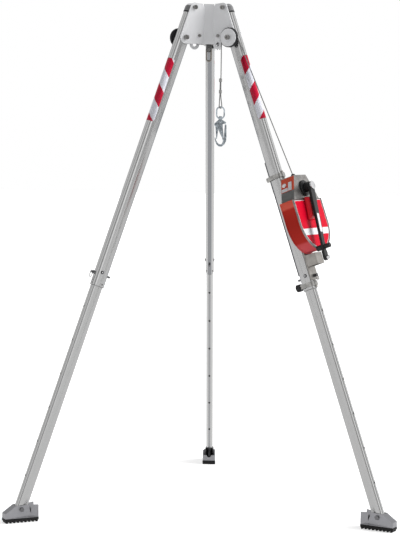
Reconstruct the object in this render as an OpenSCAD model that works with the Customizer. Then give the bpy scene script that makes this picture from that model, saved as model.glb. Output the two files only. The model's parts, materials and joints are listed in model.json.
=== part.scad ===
// Rescue tripod with three telescopic legs, a plate head, a lifeline and a leg mounted winch.
// Millimetres, +Z up, origin on the ground at the middle of the footprint's box.

/* [Stance] */
// Angle of each leg from the vertical when the legs are spread
splay = 20.3; // [16:0.1:24]
// Height of the foot bolts above the ground
foot_bolt_z = 60; // [60:1:75]

/* [Leg tubes] */
// Width of the upper tube across the leg
leg_w = 43; // [38:0.5:48]
// Depth of the upper tube from its inner flat to its round face
leg_d = 67; // [62:0.5:74]
// Width of the flat on the inner side of the upper tube
leg_flat = 17; // [12:0.5:22]
// Length of the parallel sides between the round face and the taper
leg_straight = 15; // [8:0.5:20]
// Wall of both tubes
leg_wall = 2.8; // [2:0.1:3.5]
// Gap between the upper tube and the lower tube
tube_gap = 1.4; // [1:0.1:2]
// Length of the upper tube
upper_len = 1386; // [1300:1:1500]
// Length of the upper tube above its pivot
upper_above = 139; // [136:1:140]
// Length of the lower tube
lower_len = 1304; // [1260:1:1330]
// Length of the lower tube inside the upper tube when extended
lower_overlap = 197; // [190:1:230]
// Length of the knee guide inside the upper tube
guide_len = 45; // [30:1:50]
// Thickness of the knee guide's flange below the tube
guide_flange = 2; // [2:0.5:6]
// Height of the leg cap above the tube
cap_h = 14; // [8:0.5:16]

/* [Lock pins] */
// Diameter of a lock pin
pin_d = 10; // [8:0.5:12]
// Height of the lock pin above the lower end of the upper tube
pin_up = 56; // [55:1:70]
// Distance between the stops of a lower tube
pin_pitch = 165; // [140:1:168]
// Number of stops above the fully extended one
pin_stops = 6; // [4:1:6]
// Length of a lock pin's tip past the inner flat
pin_tip = 16; // [8:1:18]
// Diameter of a lock pin's collar
pin_collar_d = 16; // [14:0.5:18]
// Radius of the key ring on a lock pin
pin_ring_r = 13; // [10:0.5:15]

/* [Feet] */
// Height of the foot bolt above the lower end of the tube
foot_bolt_up = 18; // [14:1:20]
// Diameter of a foot bolt
foot_bolt_d = 12; // [10:0.5:14]
// Length of the foot from the bolt outwards
foot_out = 80; // [70:1:90]
// Length of the foot from the bolt inwards
foot_in = 80; // [74:1:88]
// Width of the foot at its outer end
foot_outer_w = 46; // [44:1:54]
// Width of the foot at its inner end
foot_inner_w = 70; // [62:1:76]
// Thickness of the foot bracket's sheet
foot_sheet = 3; // [2:0.5:4]
// Thickness of the rubber sole without its ridges
sole_t = 12; // [10:1:16]
// Height of the ridges under a sole
ridge_h = 9; // [6:1:12]
// Number of ridges under a sole
ridge_n = 9; // [5:1:9]

/* [Head] */
// Distance of a leg pivot from the tripod's axis
pivot_r = 138.5; // [132:0.5:146]
// Distance of a leg's middle line outside its pivot
axis_off = 6; // [5:0.5:12]
// Height of the stop bolt above the pivot along the leg
stop_up = 150; // [146:1:152]
// Diameter of a pivot bolt
pivot_bolt_d = 16; // [12:0.5:18]
// Diameter of a stop bolt
stop_bolt_d = 14; // [10:0.5:14]
// Diameter of a tie bolt
tie_bolt_d = 10; // [8:0.5:12]
// Thickness of the head plates
plate_t = 6.5; // [5:0.5:8]
// Gap between a leg and the cheek beside it
cheek_gap = 1; // [0.8:0.1:1.5]
// Distance of a strip's middle from the tripod's axis
strip_dist = 42; // [40:0.5:48]
// Radius of a plate's lower corner round the pivot bolt
cheek_low_r = 29; // [26:0.5:32]
// Radius of a plate's upper corner round the stop bolt
cheek_top_r = 22; // [19:0.5:24]
// Height of the strips above the pivot
strip_above = 160; // [150:1:165]
// Distance of a rigging lug's hole from the tripod's axis
lug_r = 65; // [62:0.5:68]
// Depth of a rigging lug's hole below the pivot
lug_down = 29; // [26:0.5:40]
// Diameter of a rigging lug's hole
lug_d = 20; // [16:0.5:22]
// Radius of a rigging lug's edge
lug_edge_r = 24; // [20:0.5:26]

/* [Sheaves] */
// Radius of the lifeline's middle on a sheave
sheave_pitch_r = 42; // [38:0.5:46]
// Height of a sheave's rim above the lifeline's middle
sheave_rim = 4; // [3:0.5:6]
// Thickness of a sheave
sheave_t = 14; // [12:0.5:16]
// Distance of a sheave's middle from the leg's middle plane
sheave_off = 43; // [42:0.5:48]
// Thickness of a side disc
disc_t = 5.5; // [4:0.5:8]

/* [Anchor] */
// Depth of the anchor pin below the plates
anchor_down = 24; // [20:1:30]
// Diameter of the anchor pin
anchor_pin_d = 10; // [8:0.5:11]
// Diameter of the anchor link's wire
link_d = 8; // [6:0.5:9]
// Width of the anchor link over its wire
link_w = 30; // [28:1:36]
// Height of the anchor link over its wire
link_h = 71; // [60:1:80]

/* [Lifeline] */
// Diameter of the wire rope
rope_d = 5; // [4:0.5:6]
// Length of the straight drop below the sheave's middle
drop_len = 184; // [150:1:300]
// Height of the eye loop below the drop
loop_h = 148; // [130:1:160]
// Inner radius of the eye loop
loop_r = 8; // [7:0.5:10]
// Width of the swivel eye over its wire
eye_w = 43; // [38:1:48]
// Height of the swivel eye over its wire
eye_h = 62; // [56:1:68]
// Diameter of the swivel eye's wire
eye_d = 7; // [6:0.5:8]
// Width of the hook body
hook_w = 58; // [50:1:62]
// Height of the hook body
hook_h = 130; // [116:1:136]
// Thickness of the hook body
hook_t = 16; // [12:1:18]

/* [Winch] */
// Height of the drum's axis above the lower end of the upper tube
winch_up = 293; // [288:1:310]
// Distance of the housing's back from the leg's middle line
winch_back = 44; // [42:0.5:50]
// Depth of the housing and its cover
winch_t = 77; // [74:0.5:84]
// Radius of the housing's round lower end
winch_r = 132; // [130:0.5:140]
// Wall of the housing
winch_wall = 4; // [3:0.5:4]
// Height of the outlet block's base above the drum's axis
block_base = 112; // [106:1:114]
// Height of the outlet block
block_h = 117; // [112:1:124]
// Width of the outlet block at its base
block_base_w = 236; // [230:1:250]
// Width of the outlet block at its top
block_top_w = 112; // [106:1:130]
// Distance of the nozzle from the leg's middle line
nozzle_x = 84; // [80:1:86]
// Width of a gear tooth's step round the pitch circle, as the gears' module
gear_module = 3.5; // [3.5:0.1:3.5]
// Teeth of the gear on the drum
drum_teeth = 69; // [66:1:69]
// Teeth of the pinion on the crank shaft
pinion_teeth = 24; // [20:1:24]
// Width of both gears
gear_t = 12; // [10:0.5:12]
// Radius of the drum's core
drum_core_r = 55; // [45:1:60]
// Radius of the drum's flanges
drum_flange_r = 108; // [100:1:112]
// Radius of the cable wound on the drum
wound_r = 96; // [80:1:98]
// Diameter of the crank shaft
shaft_d = 24; // [20:0.5:26]
// Length of the crank from its shaft to its grip
crank_len = 300; // [285:1:330]
// Angle of the crank from the leg at rest
crank_turn = 11; // [0:1:20]
// Length of the crank's tail below the grip
crank_tail = 36; // [28:1:40]
// Width of the crank arm
crank_w = 30; // [26:1:34]
// Thickness of the crank arm
crank_t = 12; // [10:0.5:14]
// Diameter of the crank grip
grip_d = 26; // [22:0.5:28]

/* [Winch bracket] */
// Thickness of the bracket's plate
bracket_t = 4.5; // [3.5:0.5:5]
// Width of the bracket's plate
bracket_w = 70; // [60:1:80]
// Length of the black strip on the inner side of the leg
strip_len = 558; // [520:1:560]
// Thickness of the black strip
strip_t = 5; // [4:0.5:5]
// Width of the black strip
strip_w = 15; // [10:1:16]
// Thickness of a leg strap
strap_t = 3; // [2:0.5:4]
// Width of a leg strap
strap_w = 20; // [16:1:22]
// Height of the upper strap above the lower end of the upper tube
strap_upper_up = 551; // [545:1:575]
// Height of the lower strap above the lower end of the upper tube
strap_lower_up = 22; // [18:1:26]

/* [Hidden] */
$fn = 48;
run_gap = 0.05;
slide_gap = 0.3;
seat_gap = 0.1;
// Width of the bracket where a strap passes round it
tongue_w = 10;

aluminium = "#b8babc";
steel = "#9a9c9e";
dark_steel = "#5c5e60";
black = "#202022";
red = "#c01c24";
grey_plastic = "#8b8d90";

// Leg stations, measured along the leg from the pivot
upper_bottom = upper_above - upper_len;
lower_top = upper_bottom + lower_overlap;
lower_bottom = lower_top - lower_len;
foot_bolt_at = lower_bottom + foot_bolt_up;
pin_z = upper_bottom + pin_up;
winch_z = upper_bottom + winch_up;
lower_inset = leg_wall + tube_gap;

// Where the pivots and feet come to rest
pivot_z = foot_bolt_z - foot_bolt_at * cos(splay) - axis_off * sin(splay);
foot_r = pivot_r + axis_off * cos(splay) - foot_bolt_at * sin(splay);
foot_reach = foot_r + foot_out;
axis_y = -(foot_reach - foot_reach * sin(30) - foot_outer_w / 2 * cos(30)) / 2;

// Tube section
round_x = leg_d / 2 - leg_w / 2;
taper_a = atan2((leg_w - leg_flat) / 2, leg_d - leg_w / 2 - leg_straight);

// Foot bracket
sole_top = ridge_h + sole_t;
foot_edge = 1;
foot_cheek_out = foot_outer_w / 2 - foot_edge;
foot_cheek_in = foot_cheek_out - foot_sheet;
foot_top = foot_bolt_z + 19;
web_foot = 24;
web_low_x = foot_out - foot_edge;
web_top_x = 28;
notch_x = -32;
ear_x = -46;
ear_z = sole_top + 17;

// Head plates
cheek_in = leg_w / 2 + cheek_gap;
cheek_out = cheek_in + plate_t;
cheek_mid = cheek_in + plate_t / 2;
strip_half = 2 * (cos(30) * strip_dist - cheek_mid);
strip_r = strip_half * cos(30) + strip_dist * sin(30);
plate_bottom = pivot_z - cheek_low_r;
plate_top = pivot_z + strip_above;
stop_r = pivot_r + axis_off * cos(splay) - stop_up * sin(splay);
stop_z = pivot_z + axis_off * sin(splay) + stop_up * cos(splay);
tie_r = lug_r + 3;
tie_z = pivot_z + 10;
anchor_z = plate_bottom - anchor_down;

// Sheaves and bolts, measured away from the leg's middle plane
sheave_in = sheave_off - sheave_t / 2;
sheave_out = sheave_off + sheave_t / 2;
disc_in = sheave_out + slide_gap;
disc_out = disc_in + disc_t;

// Lifeline: the run leaves the nozzle and meets the sheave's pitch circle on its outer side
nozzle_h = 14;
block_top = winch_z + block_base + block_h;
feed_z = block_top + 2;
run_dx = nozzle_x + axis_off;
run_far = norm([run_dx, feed_z]);
run_lean = atan2(run_dx, -feed_z);
run_touch_a = run_lean + asin(sheave_pitch_r / run_far);
run_top = [sheave_pitch_r * cos(run_touch_a) - axis_off, -sheave_off, sheave_pitch_r * sin(run_touch_a)];
run_bottom = [nozzle_x, 0, feed_z];
feed_r = wound_r + rope_d / 2 + slide_gap;
feed_a = acos(feed_r / (feed_z - winch_z));
feed_start = [nozzle_x - 10, -feed_r * sin(feed_a), winch_z + feed_r * cos(feed_a)];
wrap_start = splay + run_touch_a;
drop_r = pivot_r - sheave_pitch_r;
drop_bottom = pivot_z - drop_len;
loop_bottom = drop_bottom - loop_h;
ferrule_h = 16;
ferrule_t = 3;
ferrule_down = [8, 62];
strand_step = rope_d + 0.6;
loop_yaw = 54;
loop_mid_r = loop_r + rope_d / 2;

// Swivel eye and hook, from the loop down
eye_half = (eye_w - eye_d) / 2;
eye_arc = loop_bottom + rope_d / 2 + slide_gap + eye_d / 2 - eye_half;
eye_low = eye_arc - (eye_h - eye_w);
swivel_d = 10;
swivel_h = eye_d + 4;
swivel_play = 0.5;
hook_top = eye_low - eye_half - eye_d / 2 - swivel_play;
gate_t = 8;
gate_pin_d = 4;
lever_pin_d = 5;
tongue_t = 6;
hook_scale = [hook_w / 58, hook_h / 130];
gate_at = [-17.5 * hook_scale[0], -27 * hook_scale[1]];
lever_at = [24 * hook_scale[0], -84 * hook_scale[1]];

// Winch stations
winch_front = winch_back + winch_t;
cover_t = 8;
cover_x = winch_front - cover_t;
rim = 3;
gear_x = cover_x - 6 - gear_t;
drum_gear_r = gear_module * drum_teeth / 2;
pinion_r = gear_module * pinion_teeth / 2;
shaft_up = drum_gear_r + pinion_r;
shaft_z = winch_z + shaft_up;
axle_d = 20;
bearing_x = winch_back + 4;
drum_x = winch_back + winch_wall + 4;
flange_t = 4;
hub_r = 22;
crank_x = winch_front + 31;
crank_out = crank_x + crank_t;

// Bracket, straps and knob
plate_x0 = leg_d / 2 + seat_gap / 2;
plate_x1 = plate_x0 + bracket_t;
strap_in = max(bracket_t, strip_t) + seat_gap;
strap_upper_z = upper_bottom + strap_upper_up;
strap_lower_z = upper_bottom + strap_lower_up;
shelf_top = winch_z - winch_r - 7;
shelf_h = 54;
shelf_x = nozzle_x + 8;
knob_screw_d = 10;

function leg_az(side) = side == "left" ? 210 : side == "right" ? 330 : 90;
function unit(v) = v / norm(v);

module placed() {
    translate([0, axis_y, 0]) children();
}

// Radial X, tangential Y and upright Z of one arm
module arm_frame(side) {
    placed() rotate([0, 0, leg_az(side)]) children();
}

// Outward X and lengthwise Z of one leg, on the tube's middle line at the height of its pivot
module leg_frame(side) {
    arm_frame(side) translate([pivot_r, 0, pivot_z]) rotate([0, -splay, 0])
        translate([axis_off, 0, 0]) children();
}

module foot_frame(side) {
    arm_frame(side) translate([foot_r, 0, 0]) children();
}

// A cylinder along Y, centred unless it starts at y0
module across(r, y0, y1) {
    translate([0, y1, 0]) rotate([90, 0, 0]) cylinder(r = r, h = y1 - y0);
}

// A cylinder along X
module along(r, x0, x1) {
    translate([x0, 0, 0]) rotate([0, 90, 0]) cylinder(r = r, h = x1 - x0);
}

// A flat shape drawn in Y and Z, given its thickness along X
module slab_x(x0, x1) {
    translate([x0, 0, 0]) rotate([90, 0, 90]) linear_extrude(x1 - x0) children();
}

// A flat shape drawn in X and Z, given its thickness along Y
module slab_y(y0, y1) {
    translate([0, y1, 0]) rotate([90, 0, 0]) linear_extrude(y1 - y0) children();
}

module ring(r, wire_r) {
    rotate_extrude() translate([r, 0]) circle(r = wire_r, $fn = 24);
}

// Oval ring of round wire in the XZ plane, with its upper bend's middle at the origin
module oval_ring(half_w, straight, wire_r) {
    for (end = [0, 1]) {
        translate([0, 0, -end * straight]) rotate([90, end * 180, 0])
            rotate_extrude(angle = 180) translate([half_w, 0]) circle(r = wire_r, $fn = 24);
        translate([half_w * (1 - 2 * end), 0, -straight]) cylinder(r = wire_r, h = straight, $fn = 24);
    }
}

// Rope swept along points, with its rings turned from the side direction and its end faces square to
// the first and last directions, where those are given
function rope_ring(at, along_dir, side_dir, r, n) =
    let (out_dir = unit(cross(along_dir, side_dir)), flat_dir = unit(cross(out_dir, along_dir)))
    [for (k = [0 : n - 1]) at + r * (cos(360 * k / n) * out_dir + sin(360 * k / n) * flat_dir)];

module rope(points, side_dir, d, first_dir, last_dir, n = 8) {
    last = len(points) - 1;
    rings = [for (i = [0 : last])
        let (a = points[max(i - 1, 0)], b = points[min(i + 1, last)])
        let (way = i == 0 && first_dir != undef ? first_dir : i == last && last_dir != undef ? last_dir : b - a)
        rope_ring(points[i], unit(way), side_dir, d / 2, n)];
    polyhedron(
        points = [for (ring_points = rings) each ring_points],
        faces = concat(
            [[for (k = [0 : n - 1]) k]],
            [for (i = [0 : last - 1], k = [0 : n - 1])
                [i * n + k, (i + 1) * n + k, (i + 1) * n + (k + 1) % n]],
            [for (i = [0 : last - 1], k = [0 : n - 1])
                [i * n + k, (i + 1) * n + (k + 1) % n, i * n + (k + 1) % n]],
            [[for (k = [n - 1 : -1 : 0]) last * n + k]]));
}

// Outline of a leg tube, moved inwards by inset on every side
module leg_section(inset) {
    half_w = leg_w / 2 - inset;
    flat_x = -leg_d / 2 + inset;
    half_flat = leg_flat / 2 - inset * (1 / cos(taper_a) - tan(taper_a));
    bend_x = -leg_d / 2 + (half_w - leg_flat / 2 + inset / cos(taper_a)) / tan(taper_a);
    translate([round_x, 0]) circle(r = half_w, $fn = 64);
    polygon([[round_x, half_w], [bend_x, half_w], [flat_x, half_flat],
        [flat_x, -half_flat], [bend_x, -half_w], [round_x, -half_w]]);
}

module leg_ring(outer, inner, z0, z1) {
    translate([0, 0, z0]) linear_extrude(z1 - z0) difference() {
        leg_section(outer);
        leg_section(inner);
    }
}

// Upper tube with its pivot hole and the lock pin's hole
module upper_leg(side) {
    color(aluminium) leg_frame(side) difference() {
        leg_ring(0, leg_wall, upper_bottom, upper_above);
        translate([-axis_off, 0, 0]) across(pivot_bolt_d / 2 + run_gap, -leg_w, leg_w);
        translate([0, 0, pin_z]) along(pin_d / 2 + run_gap, -leg_d, leg_d);
    }
}

// Cap with a plug inside the tube, a skirt over the round face and a shoulder that meets the stop bolt
module leg_cap(side) {
    plug = 4;
    skirt = 17;
    skirt_t = 1.6;
    skirt_x = round_x + 8;
    shoulder_x = stop_bolt_d / 2 + slide_gap;
    edge = 5;
    color(grey_plastic) leg_frame(side) {
        translate([0, 0, upper_above - plug]) linear_extrude(plug) leg_section(leg_wall + seat_gap);
        difference() {
            hull() {
                translate([0, 0, upper_above]) linear_extrude(cap_h - edge) leg_section(0);
                translate([0, 0, upper_above]) linear_extrude(cap_h) leg_section(edge);
            }
            translate([shoulder_x - 2 * leg_d, -leg_w, upper_above - 1])
                cube([2 * leg_d, 2 * leg_w, 2 * cap_h]);
        }
        difference() {
            translate([0, 0, upper_above - skirt]) linear_extrude(skirt + edge) intersection() {
                leg_section(-skirt_t);
                translate([skirt_x, -leg_w]) square([leg_d, 2 * leg_w]);
            }
            translate([0, 0, upper_above - skirt - 1]) linear_extrude(skirt + 1) leg_section(-seat_gap);
        }
    }
}

// Plastic liner at the knee with a flange under the tube's end
module knee_guide(side) {
    color(black) leg_frame(side) {
        leg_ring(leg_wall, lower_inset - slide_gap, upper_bottom, upper_bottom + guide_len);
        leg_ring(0, lower_inset - slide_gap, upper_bottom - guide_flange, upper_bottom);
    }
}

// Quick pull pin with a collar, a flat lug and a key ring
module lock_pin(side) {
    wire_r = 1.4;
    hole_r = 2.4;
    collar_x = leg_d / 2 + (side == "right" ? bracket_t + seat_gap : seat_gap);
    collar_h = 8;
    lug_len = 12;
    lug_t = 5;
    ring_x = collar_x + collar_h + lug_len / 2;
    color(steel) leg_frame(side) translate([0, 0, pin_z]) {
        along(pin_d / 2, -leg_d / 2 - pin_tip, collar_x);
        along(pin_collar_d / 2, collar_x, collar_x + collar_h);
        difference() {
            translate([collar_x + collar_h - 1, -lug_t / 2, -pin_collar_d / 2 + 2])
                cube([lug_len + 1, lug_t, pin_collar_d - 4]);
            translate([ring_x, 0, 0]) across(hole_r, -lug_t, lug_t);
        }
        translate([ring_x, 0, wire_r - hole_r + seat_gap - pin_ring_r]) rotate([0, 90, 0])
            ring(pin_ring_r, wire_r);
    }
}

// Lower tube with a row of pin holes through its round face and its inner flat
module lower_leg(side) {
    color(aluminium) leg_frame(side) difference() {
        leg_ring(lower_inset, lower_inset + leg_wall, lower_bottom, lower_top);
        for (stop = [0 : pin_stops])
            translate([0, 0, pin_z - stop * pin_pitch]) along(pin_d / 2 + run_gap, -leg_d, leg_d);
        translate([0, 0, foot_bolt_at]) across(foot_bolt_d / 2 + run_gap, -leg_w, leg_w);
    }
}

// Foot: the sole's plan, with X outwards from the bolt
module foot_plan(edge) {
    polygon([[foot_out - edge, foot_outer_w / 2 - edge], [-foot_in + edge, foot_inner_w / 2 - edge],
        [-foot_in + edge, -foot_inner_w / 2 + edge], [foot_out - edge, -foot_outer_w / 2 + edge]]);
}

module foot_cheek_outline() {
    polygon([[web_low_x, sole_top], [web_low_x, sole_top + web_foot], [web_top_x, foot_top],
        [notch_x, foot_top], [ear_x, ear_z], [ear_x - 6, ear_z], [ear_x - 6, sole_top]]);
}

// Bent channel with a sloping web, two cheeks, flared ears and a notched inner wall
module foot_bracket(side) {
    ear_from = [ear_x, foot_cheek_out];
    ear_to = [-foot_in + 1.5 * foot_edge, foot_inner_w / 2 - 1.5 * foot_edge];
    ear_turn = atan2(ear_to[1] - ear_from[1], ear_to[0] - ear_from[0]);
    ear_len = norm(ear_to - ear_from);
    color(grey_plastic) foot_frame(side) {
        translate([0, 0, sole_top]) linear_extrude(foot_sheet) foot_plan(foot_edge);
        slab_y(-foot_cheek_out, foot_cheek_out)
            polygon([[web_low_x, sole_top], [web_low_x, sole_top + web_foot], [web_top_x, foot_top],
                [web_top_x, foot_top - 1.3 * foot_sheet],
                [web_low_x - foot_sheet, sole_top + web_foot - foot_sheet / 2],
                [web_low_x - foot_sheet, sole_top]]);
        for (flip = [0, 1]) mirror([0, flip, 0]) {
            difference() {
                slab_y(foot_cheek_in, foot_cheek_out) foot_cheek_outline();
                translate([0, 0, foot_bolt_z]) across(foot_bolt_d / 2 + run_gap, -leg_w, leg_w);
            }
            translate([ear_from[0], ear_from[1], sole_top]) rotate([0, 0, ear_turn])
                cube([ear_len, foot_sheet, foot_top - sole_top]);
        }
        difference() {
            translate([-foot_in + foot_edge, -foot_inner_w / 2 + foot_edge + 1, sole_top])
                cube([foot_sheet, foot_inner_w - 2 * foot_edge - 2, web_foot + 6]);
            translate([-foot_in, 0, sole_top + web_foot + 6]) along(web_foot / 2, -1, foot_sheet * 3);
        }
    }
}

// Rubber sole with cross ridges
module foot_sole(side) {
    step = (foot_in + foot_out) / ridge_n;
    color(black) foot_frame(side) {
        translate([0, 0, ridge_h]) linear_extrude(sole_t) foot_plan(0);
        intersection() {
            linear_extrude(ridge_h + 1) foot_plan(0);
            for (k = [0 : ridge_n - 1])
                translate([-foot_in + (k + 0.5) * step, 0, 0]) slab_y(-foot_inner_w, foot_inner_w)
                    polygon([[-step * 0.2, 0], [step * 0.2, 0], [step * 0.34, ridge_h + 1],
                        [-step * 0.34, ridge_h + 1]]);
        }
    }
}

// Foot bolt with its head, nut and two spacers beside the tube
module foot_bolt(side) {
    tube_half = leg_w / 2 - lower_inset;
    head = 7;
    color(steel) foot_frame(side) translate([0, 0, foot_bolt_z]) {
        across(foot_bolt_d / 2, -foot_cheek_out - head, foot_cheek_out + head);
        for (flip = [0, 1]) mirror([0, flip, 0]) {
            translate([0, foot_cheek_out + head, 0]) rotate([90, 0, 0]) cylinder(r = 11, h = head, $fn = 6);
            difference() {
                across(foot_bolt_d / 2 + 4, tube_half + slide_gap, foot_cheek_in);
                across(foot_bolt_d / 2 - 1, tube_half, foot_cheek_in + 1);
            }
        }
    }
}

// Side view of a cheek in the arm's plane
module cheek_outline(with_lug) {
    difference() {
        union() {
            hull() {
                translate([stop_r, stop_z]) circle(r = cheek_top_r, $fn = 32);
                translate([pivot_r, pivot_z]) circle(r = cheek_low_r, $fn = 32);
                translate([strip_r, plate_bottom]) square([2, plate_top - plate_bottom]);
            }
            if (with_lug) translate([lug_r, pivot_z - lug_down]) circle(r = lug_edge_r, $fn = 48);
        }
        translate([strip_r + 2, plate_top - 14]) square([8, 40]);
    }
}

module cheek_holes() {
    translate([pivot_r, 0, pivot_z]) across(pivot_bolt_d / 2 + run_gap, -2 * sheave_off, 2 * sheave_off);
    translate([stop_r, 0, stop_z]) across(stop_bolt_d / 2 + run_gap, -2 * sheave_off, 2 * sheave_off);
    translate([tie_r, 0, tie_z]) across(tie_bolt_d / 2 + run_gap, -2 * sheave_off, 2 * sheave_off);
    translate([lug_r, 0, pivot_z - lug_down]) across(lug_d / 2, -2 * sheave_off, -cheek_in + 1);
}

// Bent plate between two arms: a plain cheek, a strip and a cheek with a rigging lug
module head_plate(turn) {
    boss_r = pivot_bolt_d / 2 + 7;
    color(aluminium) placed() {
        rotate([0, 0, turn]) {
            translate([strip_dist - plate_t / 2, -strip_half, plate_bottom])
                cube([plate_t, 2 * strip_half, plate_top - plate_bottom]);
            for (flip = [-1, 1]) translate([strip_dist, flip * strip_half, plate_bottom])
                cylinder(d = plate_t - 2 * seat_gap, h = plate_top - plate_bottom);
        }
        rotate([0, 0, turn - 60]) difference() {
            slab_y(cheek_in, cheek_out) cheek_outline(false);
            cheek_holes();
        }
        rotate([0, 0, turn + 60]) difference() {
            union() {
                slab_y(-cheek_out, -cheek_in) cheek_outline(true);
                translate([pivot_r, 0, pivot_z]) across(boss_r, -sheave_in + slide_gap, -cheek_in);
            }
            cheek_holes();
        }
    }
}

// Bolt with a round head at each end, each with a hexagon socket
module cap_bolt(r, y0, y1, head_r, head_h) {
    socket = head_h / 2;
    socket_r = head_r * 0.52;
    difference() {
        union() {
            across(r, y0, y1);
            across(head_r, y0 - head_h, y0);
            across(head_r, y1, y1 + head_h);
        }
        translate([0, y0 - head_h + socket, 0]) rotate([90, 0, 0])
            cylinder(r = socket_r, h = head_h, $fn = 6);
        translate([0, y1 + head_h - socket, 0]) rotate([-90, 0, 0])
            cylinder(r = socket_r, h = head_h, $fn = 6);
    }
}

module on_each_arm() {
    for (side = ["left", "right", "rear"]) arm_frame(side) children();
}

module pivot_bolts() {
    color(steel) on_each_arm() translate([pivot_r, 0, pivot_z])
        cap_bolt(pivot_bolt_d / 2, -disc_out, cheek_out, pivot_bolt_d * 0.72, pivot_bolt_d * 0.75);
}

// Stop bolts above the legs and smaller tie bolts between the cheeks
module plate_bolts() {
    color(steel) on_each_arm() {
        translate([stop_r, 0, stop_z])
            cap_bolt(stop_bolt_d / 2, -cheek_out, cheek_out, stop_bolt_d * 0.75, stop_bolt_d * 0.72);
        translate([tie_r, 0, tie_z])
            cap_bolt(tie_bolt_d / 2, -cheek_out, cheek_out, tie_bolt_d * 0.75, tie_bolt_d * 0.7);
    }
}

// Grooved wheel on the pivot bolt
module sheave(side) {
    rim_r = sheave_pitch_r + sheave_rim;
    groove_r = rope_d / 2 + 2 * slide_gap;
    color(black) arm_frame(side) translate([pivot_r, -sheave_off, pivot_z]) rotate([90, 0, 0])
        rotate_extrude($fn = 96) difference() {
            translate([pivot_bolt_d / 2 + run_gap, -sheave_t / 2])
                square([rim_r - pivot_bolt_d / 2 - run_gap, sheave_t]);
            translate([sheave_pitch_r, 0]) circle(r = groove_r, $fn = 32);
            polygon([[sheave_pitch_r, groove_r], [rim_r + 1, groove_r + 2],
                [rim_r + 1, -groove_r - 2], [sheave_pitch_r, -groove_r]]);
        }
}

module sheave_discs() {
    color(aluminium) on_each_arm() translate([pivot_r, 0, pivot_z]) difference() {
        across(sheave_pitch_r, -disc_out, -disc_in);
        across(pivot_bolt_d / 2 + run_gap, -disc_out - 1, -disc_in + 1);
    }
}

// Hub between the strips, with the clevis for the anchor link
module anchor_hub() {
    hub_h = 14;
    ear_t = 6;
    ear_gap = link_d / 2 + 2;
    ear_w = anchor_pin_d + 14;
    color(dark_steel) placed() difference() {
        union() {
            translate([0, 0, plate_bottom]) cylinder(r = strip_dist - plate_t / 2 - seat_gap, h = hub_h);
            for (flip = [-1, 1])
                slab_y(flip > 0 ? ear_gap : -ear_gap - ear_t, flip > 0 ? ear_gap + ear_t : -ear_gap) {
                    translate([0, anchor_z]) circle(d = ear_w);
                    translate([-ear_w / 2, anchor_z]) square([ear_w, anchor_down + 1]);
                }
        }
        translate([0, 0, anchor_z]) across(anchor_pin_d / 2 + run_gap, -ear_w, ear_w);
    }
}

module anchor_pin() {
    reach = link_d / 2 + 12;
    color(steel) placed() translate([0, 0, anchor_z]) {
        across(anchor_pin_d / 2, -reach, reach);
        across(anchor_pin_d / 2 + 3, -reach, -link_d / 2 - 8);
    }
}

module anchor_link() {
    half_w = (link_w - link_d) / 2;
    color(steel) placed()
        translate([0, 0, anchor_z + anchor_pin_d / 2 + seat_gap + link_d / 2 - half_w])
        oval_ring(half_w, link_h - link_w, link_d / 2);
}

// Rope from the drum through the nozzle, then taut to the sheave
module lifeline_run() {
    count = 12;
    color(steel) leg_frame("right")
        rope(concat([feed_start, (feed_start + run_bottom) / 2],
            [for (k = [0 : count]) run_bottom + (run_top - run_bottom) * k / count]), [1, 0, 0], rope_d,
            last_dir = [-sin(run_touch_a), 0, cos(run_touch_a)]);
}

// Rope over the sheave
module lifeline_wrap() {
    count = 14;
    color(steel) arm_frame("right") translate([pivot_r, -sheave_off, pivot_z])
        rope([for (k = [0 : count]) let (a = wrap_start + (180 - wrap_start) * k / count)
            sheave_pitch_r * [cos(a), 0, sin(a)]], [0, 1, 0], rope_d,
            first_dir = [-sin(wrap_start), 0, cos(wrap_start)], last_dir = [0, 0, -1]);
}

module drop_frame() {
    arm_frame("right") translate([drop_r, -sheave_off, 0]) rotate([0, 0, -leg_az("right")]) children();
}

module lifeline_drop() {
    count = 6;
    color(steel) drop_frame()
        rope([for (k = [0 : count]) [0, 0, pivot_z - drop_len * k / count]], [0, 1, 0], rope_d);
}

// Eye loop: down from the drop, round the swivel eye's wire and back up through both sleeves
loop_route = concat(
    [[0, drop_bottom], [0, drop_bottom - 40], [0, drop_bottom - 80], [2, drop_bottom - 100]],
    [for (a = [0 : 30 : 180]) [loop_mid_r * cos(a), loop_bottom + loop_mid_r * (1 - sin(a))]],
    [[-8, drop_bottom - 100], [-strand_step, drop_bottom - 80], [-strand_step, drop_bottom - 40],
        [-strand_step, drop_bottom - 6]]);

module lifeline_loop() {
    color(steel) drop_frame() rotate([0, 0, loop_yaw])
        rope([for (p = loop_route) [p[0], 0, p[1]]], [0, 1, 0], rope_d);
}

// Two pressed sleeves that hold the rope's end against the rope
module lifeline_ferrules() {
    sleeve_r = rope_d / 2 + ferrule_t;
    color(dark_steel) drop_frame() rotate([0, 0, loop_yaw]) for (down = ferrule_down)
        translate([0, 0, drop_bottom - down - ferrule_h]) difference() {
            hull() for (x = [0, -strand_step]) translate([x, 0, 0])
                cylinder(r = sleeve_r, h = ferrule_h, $fn = 24);
            for (x = [0, -strand_step]) translate([x, 0, -1])
                cylinder(r = rope_d / 2 + run_gap, h = ferrule_h + 2);
        }
}

// Oval swivel eye with the post's hole in its lower bend
module hook_eye() {
    color(steel) drop_frame() difference() {
        union() {
            translate([0, 0, eye_arc]) oval_ring(eye_half, eye_h - eye_w, eye_d / 2);
            translate([0, 0, hook_top + swivel_play]) cylinder(r = swivel_d / 2 + 4, h = swivel_h);
        }
        translate([0, 0, hook_top]) cylinder(r = swivel_d / 2 + run_gap, h = 2 * swivel_h);
    }
}

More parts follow.
